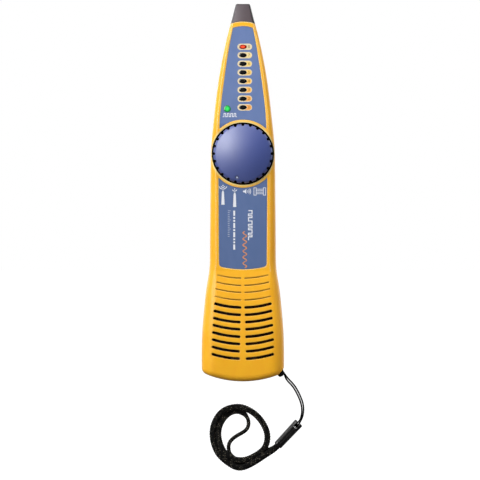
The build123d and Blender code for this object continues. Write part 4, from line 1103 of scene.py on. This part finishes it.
class Yarns:
    """Thin strands gathered in one mesh, with a UV map along each strand."""

    def __init__(self):
        self.vertices, self.crests, self.quads, self.uvs, self.caps = [], [], [], [], []
        self.count = 0

    def strand(self, centre, side, up, half_width, half_height, sides, lift=0.0):
        """Tube of oval section. Lift marks where it rides over others, for the painted
        highlight on its crests.
        """
        count = len(centre)
        angles = np.linspace(0, 2 * np.pi, sides, endpoint=False) + np.pi / sides
        cosines, sines = np.cos(angles), np.sin(angles)
        half_width, half_height, high = (
            np.broadcast_to(np.asarray(value, float), (count,))
            for value in (half_width, half_height, np.clip(lift, 0.0, 1.0)))
        rings = (centre[:, None, :]
                 + side[:, None, :] * cosines[None, :, None] * half_width[:, None, None]
                 + up[:, None, :] * sines[None, :, None] * half_height[:, None, None])
        self.vertices.append(rings.reshape(-1, 3))
        self.crests.append((high[:, None] * np.clip(sines, 0.0, 1.0)[None, :]).reshape(-1))
        index = self.count + np.arange(count * sides).reshape(count, sides)
        following = np.roll(index, -1, axis=1)
        self.quads.append(np.stack([index[:-1], following[:-1], following[1:], index[1:]],
                                   axis=-1).reshape(-1, 4))
        length = run_length(centre)
        u0, u1 = np.repeat(length[:-1], sides), np.repeat(length[1:], sides)
        v0 = np.tile(np.arange(sides) / sides, count - 1)
        v1 = v0 + 1.0 / sides
        corners = [(u0, v0), (u0, v1), (u1, v1), (u1, v0)]
        uvs = np.stack([np.stack(corner, -1) for corner in corners], axis=1)
        self.uvs.append(uvs.reshape(-1, 2))
        self.caps += [index[0][::-1], index[-1]]
        self.count += count * sides

    def make(self, name, material, body, slot, replaced=None):
        vertices = np.concatenate(self.vertices) * MM
        quads = np.concatenate(self.quads)
        loops = np.concatenate([quads.reshape(-1), *self.caps])
        sizes = [4] * len(quads) + [len(cap) for cap in self.caps]
        mesh = bpy.data.meshes.new(name)
        mesh.vertices.add(len(vertices))
        mesh.vertices.foreach_set("co", vertices.astype(np.float32).reshape(-1))
        mesh.loops.add(len(loops))
        mesh.loops.foreach_set("vertex_index", loops.astype(np.int32))
        mesh.polygons.add(len(sizes))
        starts = np.r_[0, np.cumsum(sizes[:-1])]
        mesh.polygons.foreach_set("loop_start", starts.astype(np.int32))
        mesh.update(calc_edges=True)
        mesh.validate()
        crest = mesh.attributes.new("crest", "FLOAT", "POINT")
        crest.data.foreach_set("value", np.concatenate(self.crests).astype(np.float32))
        uv_layer = mesh.uv_layers.new(name="yarn")
        uvs = np.zeros((len(loops), 2), np.float32)  # the caps stay at 0, 0
        uvs[:quads.size] = np.concatenate(self.uvs)
        uv_layer.data.foreach_set("uv", uvs.reshape(-1))
        face_outwards(mesh)
        mesh.shade_smooth()
        add_object(name, mesh, material, body, replaced)


# ---------------------------------------------------------------------------
# Braided lanyard: a flat cord of interlaced strands
# ---------------------------------------------------------------------------
# x, y, z along the middle of the cord
BRAID_PATH = [
    (26.5, -18.0, -188.75), (24.45, -18.0, -190.94), (22.05, -18.4, -193.5),
    (14.75, -19.3, -198.6), (10.47, -19.5, -201.5), (5.86, -19.3, -204.3),
    (1.58, -18.7, -206.35), (-3.03, -18.2, -207.03), (-8.04, -18.0, -204.96),
    (-12.8, -18.0, -201.4), (-16.4, -18.0, -197.4), (-18.5, -18.0, -193.06),
    (-19.7, -18.0, -188.45), (-20.02, -18.0, -183.84), (-19.3, -18.0, -179.17),
    (-17.32, -18.0, -174.56), (-14.16, -18.0, -170.6), (-10.21, -18.0, -168.2),
    (-5.93, -18.0, -167.1), (-1.25, -18.0, -167.1), (3.03, -18.0, -168.55),
    (7.31, -18.0, -171.13), (11.2, -18.0, -174.88), (14.23, -18.0, -179.5),
    (16.01, -18.0, -184.5), (16.01, -18.0, -189.51), (14.35, -17.9, -193.9),
    (11.5, -17.8, -196.9), (7.4, -17.8, -199.5), (2.63, -17.9, -201.6),
    (-2.37, -18.0, -202.1), (-6.98, -18.0, -201.0), (-10.7, -18.0, -198.6),
    (-13.7, -18.0, -194.6), (-15.5, -17.8, -189.9), (-16.2, -17.55, -183.84),
    (-15.5, -17.3, -179.89), (-13.95, -17.0, -176.4), (-11.6, -16.6, -173.3),
    (-8.69, -16.2, -171.0), (-5.53, -15.9, -169.85), (-2.44, -15.7, -169.85),
    (0.13, -15.6, -170.93), (2.31, -15.55, -173.24), (3.56, -15.5, -175.94),
    (3.69, -15.45, -178.84), (2.83, -15.4, -181.34), (0.66, -15.35, -183.45),
    (-2.37, -15.3, -185.23), (-5.2, -15.2, -187.0), (-7.71, -15.1, -189.18),
    (-9.16, -15.0, -191.68), (-9.42, -14.9, -194.6), (-8.6, -14.85, -198.0),
    (-6.4, -14.8, -201.3), (-2.9, -14.8, -203.7), (1.38, -14.8, -204.0),
    (5.86, -14.8, -202.5), (10.47, -14.85, -200.1), (14.75, -14.9, -197.3),
    (22.05, -14.98, -193.5), (24.45, -15.0, -190.94), (26.5, -15.0, -188.75),
]
BRAID_STEP = 0.2
BRAID_TURN = 9.6      # length of one turn of a strand
BRAID_WAVE = 0.21     # how far a strand rises over and dips under the others
CARRIERS = 6          # strands in each direction
STRAND_HALF_WIDTH, STRAND_HALF_HEIGHT = 0.50, 0.25
CORE_INSET = 0.20


def arc_near(line, arc, x, z, low, high):
    """Arc length where the line passes closest to x, z, between two shares of its length."""
    first, last = int(low * len(line)), int(high * len(line))
    distance = np.linalg.norm(line[first:last][:, [0, 2]] - np.array((x, z)), axis=1)
    return arc[first + int(np.argmin(distance))]


def braided_lanyard():
    arc, line = spline(BRAID_PATH, BRAID_STEP)
    inward = unit(np.cross(tangents(line), Y_AXIS))
    across = unit(np.cross(tangents(line), inward))
    # the flat cord turns on edge between two places
    edge_start = arc_near(line, arc, 1.2, -172.0, low=0.60, high=0.80)
    edge_end = arc_near(line, arc, -7.6, -198.6, low=0.70, high=0.95)
    roll = (smooth_step((arc - (edge_start - 3.5)) / 7.0)
            - smooth_step((arc - (edge_end - 3.0)) / 7.0)) * (math.pi / 2)
    cosine, sine = np.cos(roll)[:, None], np.sin(roll)[:, None]
    wide = inward * cosine + across * sine
    thick = across * cosine - inward * sine
    # half sizes of the section to the middle of the strands, a little less at the ends
    body = np.minimum(smooth_step(arc / 7.0), smooth_step((arc[-1] - arc) / 7.0))
    half_width = 1.40 + 0.26 * body
    half_height = 0.90 + 0.02 * body

    braid = Yarns()
    for k in range(CARRIERS):
        for turn in (1, -1):
            twist = turn * 2 * np.pi * arc / BRAID_TURN
            angle = 2 * np.pi * k / CARRIERS + twist
            wave = turn * (-1) ** k * np.cos(CARRIERS / 2 * (angle + twist))
            c, s = np.cos(angle), np.sin(angle)
            out = unit(wide * (c / half_width)[:, None] + thick * (s / half_height)[:, None])
            skin = line + wide * (c * half_width)[:, None] + thick * (s * half_height)[:, None]
            centre = skin + out * (BRAID_WAVE * wave)[:, None]
            side, up = section_axes(centre, out)
            braid.strand(centre, side, up, STRAND_HALF_WIDTH, STRAND_HALF_HEIGHT,
                         sides=6, lift=wave)
    braid.make("braided_lanyard", "braid", "coupler", "braid_black", "braided_cord")

    core = Yarns()
    core.strand(line[::4], wide[::4], thick[::4], half_width[::4] - CORE_INSET,
                half_height[::4] - CORE_INSET, sides=16)
    core.make("braided_lanyard_core", "core", "coupler", "braid_black")


# ---------------------------------------------------------------------------
# Thin loop: two twisted cords from the strap pin to the coupler bar
# ---------------------------------------------------------------------------
CORD_Y = -16.5
CORD_STEP = 0.16
# x, z midway between the two cords
CORD_PATH = [
    (26.15, -145.3), (29.1, -148.2), (32.5, -152.0), (35.4, -156.2), (37.7, -160.9),
    (39.2, -165.5), (39.55, -169.2), (39.05, -173.05), (37.85, -176.1), (36.0, -178.3),
]
PIN_X, PIN_Z = 25.0, -144.3
PIN_TURN_RADIUS = 1.60
PIN_TURN_START, PIN_TURN_END = 318, 30  # degrees
PIN_TURN_Y = 0.86                       # offset of each cord from the middle, at the start


def perpendicular(direction):
    """The direction turned a quarter in the XZ plane."""
    x, _, z = direction
    return np.array([-z, 0.0, x])


COUPLER_AXIS = np.array([-0.684, 0.0, -0.7295])
COUPLER_ACROSS = perpendicular(COUPLER_AXIS)
BAR = np.array([37.1, CORD_Y, -177.4]) + COUPLER_AXIS * 2.3
BAR_TURN_RADIUS = 1.40
BAR_CORD_OFFSET = 0.58


def twist_cord(cords, points, ply_radius=0.34, helix=0.25, phase=0.0):
    """Three plies twisted round a spline through the points."""
    pitch, plies = 3.0, 3
    arc, line = spline(points, CORD_STEP)
    tangent = tangents(line)
    first = np.cross(tangent, Y_AXIS)
    # a path that runs along Y has no cross product with it
    first[np.linalg.norm(first, axis=1) < 1e-3] = np.array([1.0, 0.0, 0.0])
    first = unit(first)
    second = unit(np.cross(tangent, first))
    # drawn in a little where it runs into the fork
    radius = ply_radius * (1.0 - 0.13 * smooth_step((arc - (arc[-1] - 13.0)) / 4.0))
    for k in range(plies):
        angle = 2 * np.pi * arc / pitch + 2 * np.pi * k / plies + phase
        c, s = np.cos(angle)[:, None], np.sin(angle)[:, None]
        centre = line + first * c * helix + second * s * helix
        side, up = section_axes(centre, unit(first * c + second * s))
        cords.strand(centre, side, up, radius, radius, sides=7)


def loop_path(sign):
    """One cord: a turn round the pin, the run down, and a turn round the coupler bar."""
    path = []
    for degrees in np.linspace(PIN_TURN_START, PIN_TURN_END, 17):
        angle = math.radians(degrees)
        share = (degrees - PIN_TURN_END) / (PIN_TURN_START - PIN_TURN_END)
        path.append((PIN_X + PIN_TURN_RADIUS * math.cos(angle),
                     CORD_Y + PIN_TURN_Y * sign * (0.55 + 0.45 * share),
                     PIN_Z + PIN_TURN_RADIUS * math.sin(angle)))
    run = np.array([(x, CORD_Y, z) for x, z in CORD_PATH])
    direction = tangents(run[:, [0, 2]])
    station = np.arange(len(run))
    last = len(run) - 1
    spread = np.interp(station, [0, 1, 2, 5, 7, last], [0.52, 0.60, 0.70, 0.66, 0.50, 0.44])
    run[:, 0] -= direction[:, 1] * spread * sign
    run[:, 2] += direction[:, 0] * spread * sign
    run[:, 1] += np.interp(station, [0, 5, 7, last], [0.0, 0.0, 0.25, 0.30]) * sign
    path += list(run[1:-1])
    beside_bar = BAR + COUPLER_ACROSS * BAR_CORD_OFFSET * sign
    path.append(beside_bar - COUPLER_AXIS * 1.6 - Y_AXIS * 0.5)
    for degrees in np.linspace(60, 330, 12):
        angle = math.radians(degrees)
        path.append(beside_bar - COUPLER_AXIS * BAR_TURN_RADIUS * math.cos(angle)
                    - Y_AXIS * BAR_TURN_RADIUS * math.sin(angle))
    return path


def hitch_band_path():
    """Cross band over both cords where they leave the pin."""
    centre = np.array([26.35, CORD_Y, -145.55])
    along = np.array([0.715, 0.0, -0.70])
    across = perpendicular(along)
    return [centre + across * 0.98 * math.cos(t) + Y_AXIS * 0.72 * math.sin(t)
            + along * 0.35 * math.sin(t * 0.5) for t in np.linspace(0, 2 * math.pi, 22)]


def thin_loop():
    cords = Yarns()
    twist_cord(cords, loop_path(sign=1))
    twist_cord(cords, loop_path(sign=-1), phase=1.3)
    twist_cord(cords, hitch_band_path(), ply_radius=0.2, helix=0.2, phase=0.6)
    cords.make("twisted_loop_cord", "cord", "strap", "cord_black", "thin_cord")


braided_lanyard()
thin_loop()

for ob in NODES.values():
    ob.data.polygons.foreach_set("use_smooth", [True] * len(ob.data.polygons))

# ---------------------------------------------------------------------------
# Floor, world, lights and camera, in metres
# ---------------------------------------------------------------------------
FLOOR_HALF = 14
FLOOR_Z = min(cad_low.z, -0.2105) - 0.0006
VIEW_CENTRE = Vector((-0.0019, -0.024, -0.0567))
VIEW_WIDTH = 0.3162
SENSOR_WIDTH, LENS = 36.0, 240.0  # mm
scene = bpy.context.scene


def floor_material():
    """Near-white paper to the camera, dull grey to every other ray."""
    m = Material("pale_floor")
    m.set(Base_Color=m.mottle(m.noise(scale=3.0), srgb(236, 236, 236), srgb(240, 240, 240)),
          Roughness=0.8)
    paper = m.node("ShaderNodeEmission", {"Color": (1.0, 1.0, 1.0, 1.0), "Strength": 1.22})
    dull = m.node("ShaderNodeBsdfDiffuse", {"Color": srgb(98, 98, 98)})
    rays = m.node("ShaderNodeLightPath", {})
    paper_share = 0.78
    seen = m.mix_shaders(paper_share, m.shader.outputs[0], paper.outputs[0])
    m.feed(m.output.inputs[0],
           m.mix_shaders(rays.outputs["Is Camera Ray"], dull.outputs[0], seen))
    return m.data


def add_floor():
    mesh = bpy.data.meshes.new("floor")
    corners = [(-1, -1), (1, -1), (1, 1), (-1, 1)]
    mesh.from_pydata([(x * FLOOR_HALF, y * FLOOR_HALF, FLOOR_Z) for x, y in corners], [],
                     [[0, 1, 2, 3]])
    floor = bpy.data.objects.new("floor", mesh)
    scene.collection.objects.link(floor)
    mesh.materials.append(floor_material())


def add_world():
    """White to the camera; as light, dim behind the camera and brighter behind the object."""
    world = bpy.data.worlds.new("studio")
    scene.world = world
    world.use_nodes = True
    n = Nodes(world.node_tree)
    direction = n.node("ShaderNodeTexCoord", {}).outputs["Generated"]
    strength = n.remap(n.split(direction)["Y"], span=(-0.7, 0.5), to=(0.07, 0.62),
                       interpolation_type="SMOOTHSTEP")
    light = n.node("ShaderNodeBackground",
                   {"Color": (0.97, 0.985, 1.0, 1), "Strength": strength})
    seen = n.node("ShaderNodeBackground", {"Color": (1, 1, 1, 1), "Strength": 1.0})
    rays = n.node("ShaderNodeLightPath", {})
    n.node("ShaderNodeOutputWorld", {0: n.mix_shaders(
        rays.outputs["Is Camera Ray"], light.outputs[0], seen.outputs[0])})


def area_light(name, place, size, power, color=(1, 1, 1)):
    """Rectangular light aimed at the view centre, power in watts."""
    data = bpy.data.lights.new(name, "AREA")
    data.shape = "RECTANGLE"
    data.size, data.size_y = size
    data.energy = power
    data.color = color
    light = bpy.data.objects.new(name, data)
    scene.collection.objects.link(light)
    light.location = place
    light.rotation_mode = "QUATERNION"
    light.rotation_quaternion = (VIEW_CENTRE - Vector(place)).to_track_quat("-Z", "Y")
    return light


def add_camera():
    """Camera that looks along +Y, far enough to take in the view width."""
    data = bpy.data.cameras.new("camera")
    data.sensor_width = SENSOR_WIDTH
    data.lens = LENS
    data.clip_start, data.clip_end = 0.05, 60.0
    camera = bpy.data.objects.new("camera", data)
    scene.collection.objects.link(camera)
    distance = VIEW_WIDTH / 2 / (SENSOR_WIDTH / 2 / LENS)
    camera.location = VIEW_CENTRE + Vector((0.0, -distance, 0.0))
    camera.rotation_euler = (math.radians(90.0), 0.0, 0.0)
    scene.camera = camera


add_floor()
add_world()
area_light("key", place=(-1.05, -1.15, 0.80), size=(1.0, 1.3), power=37.2)
fill_light = area_light("fill", place=(1.45, -0.62, -0.10), size=(0.6, 1.4), power=14.5,
                        color=(1.0, 0.91, 0.79))
fill_light.visible_glossy = False
area_light("top", place=(0.0, -0.15, 1.3), size=(1.2, 1.0), power=5.5)
area_light("back_left", place=(-0.9, 1.1, 0.5), size=(0.8, 1.2), power=6.0)
area_light("back_right", place=(1.0, 1.0, 0.3), size=(0.8, 1.2), power=4.0)
add_camera()
scene.view_settings.view_transform = "Standard"
scene.view_settings.look = "None"
scene.view_settings.exposure = 0.0
scene.view_settings.gamma = 1.0
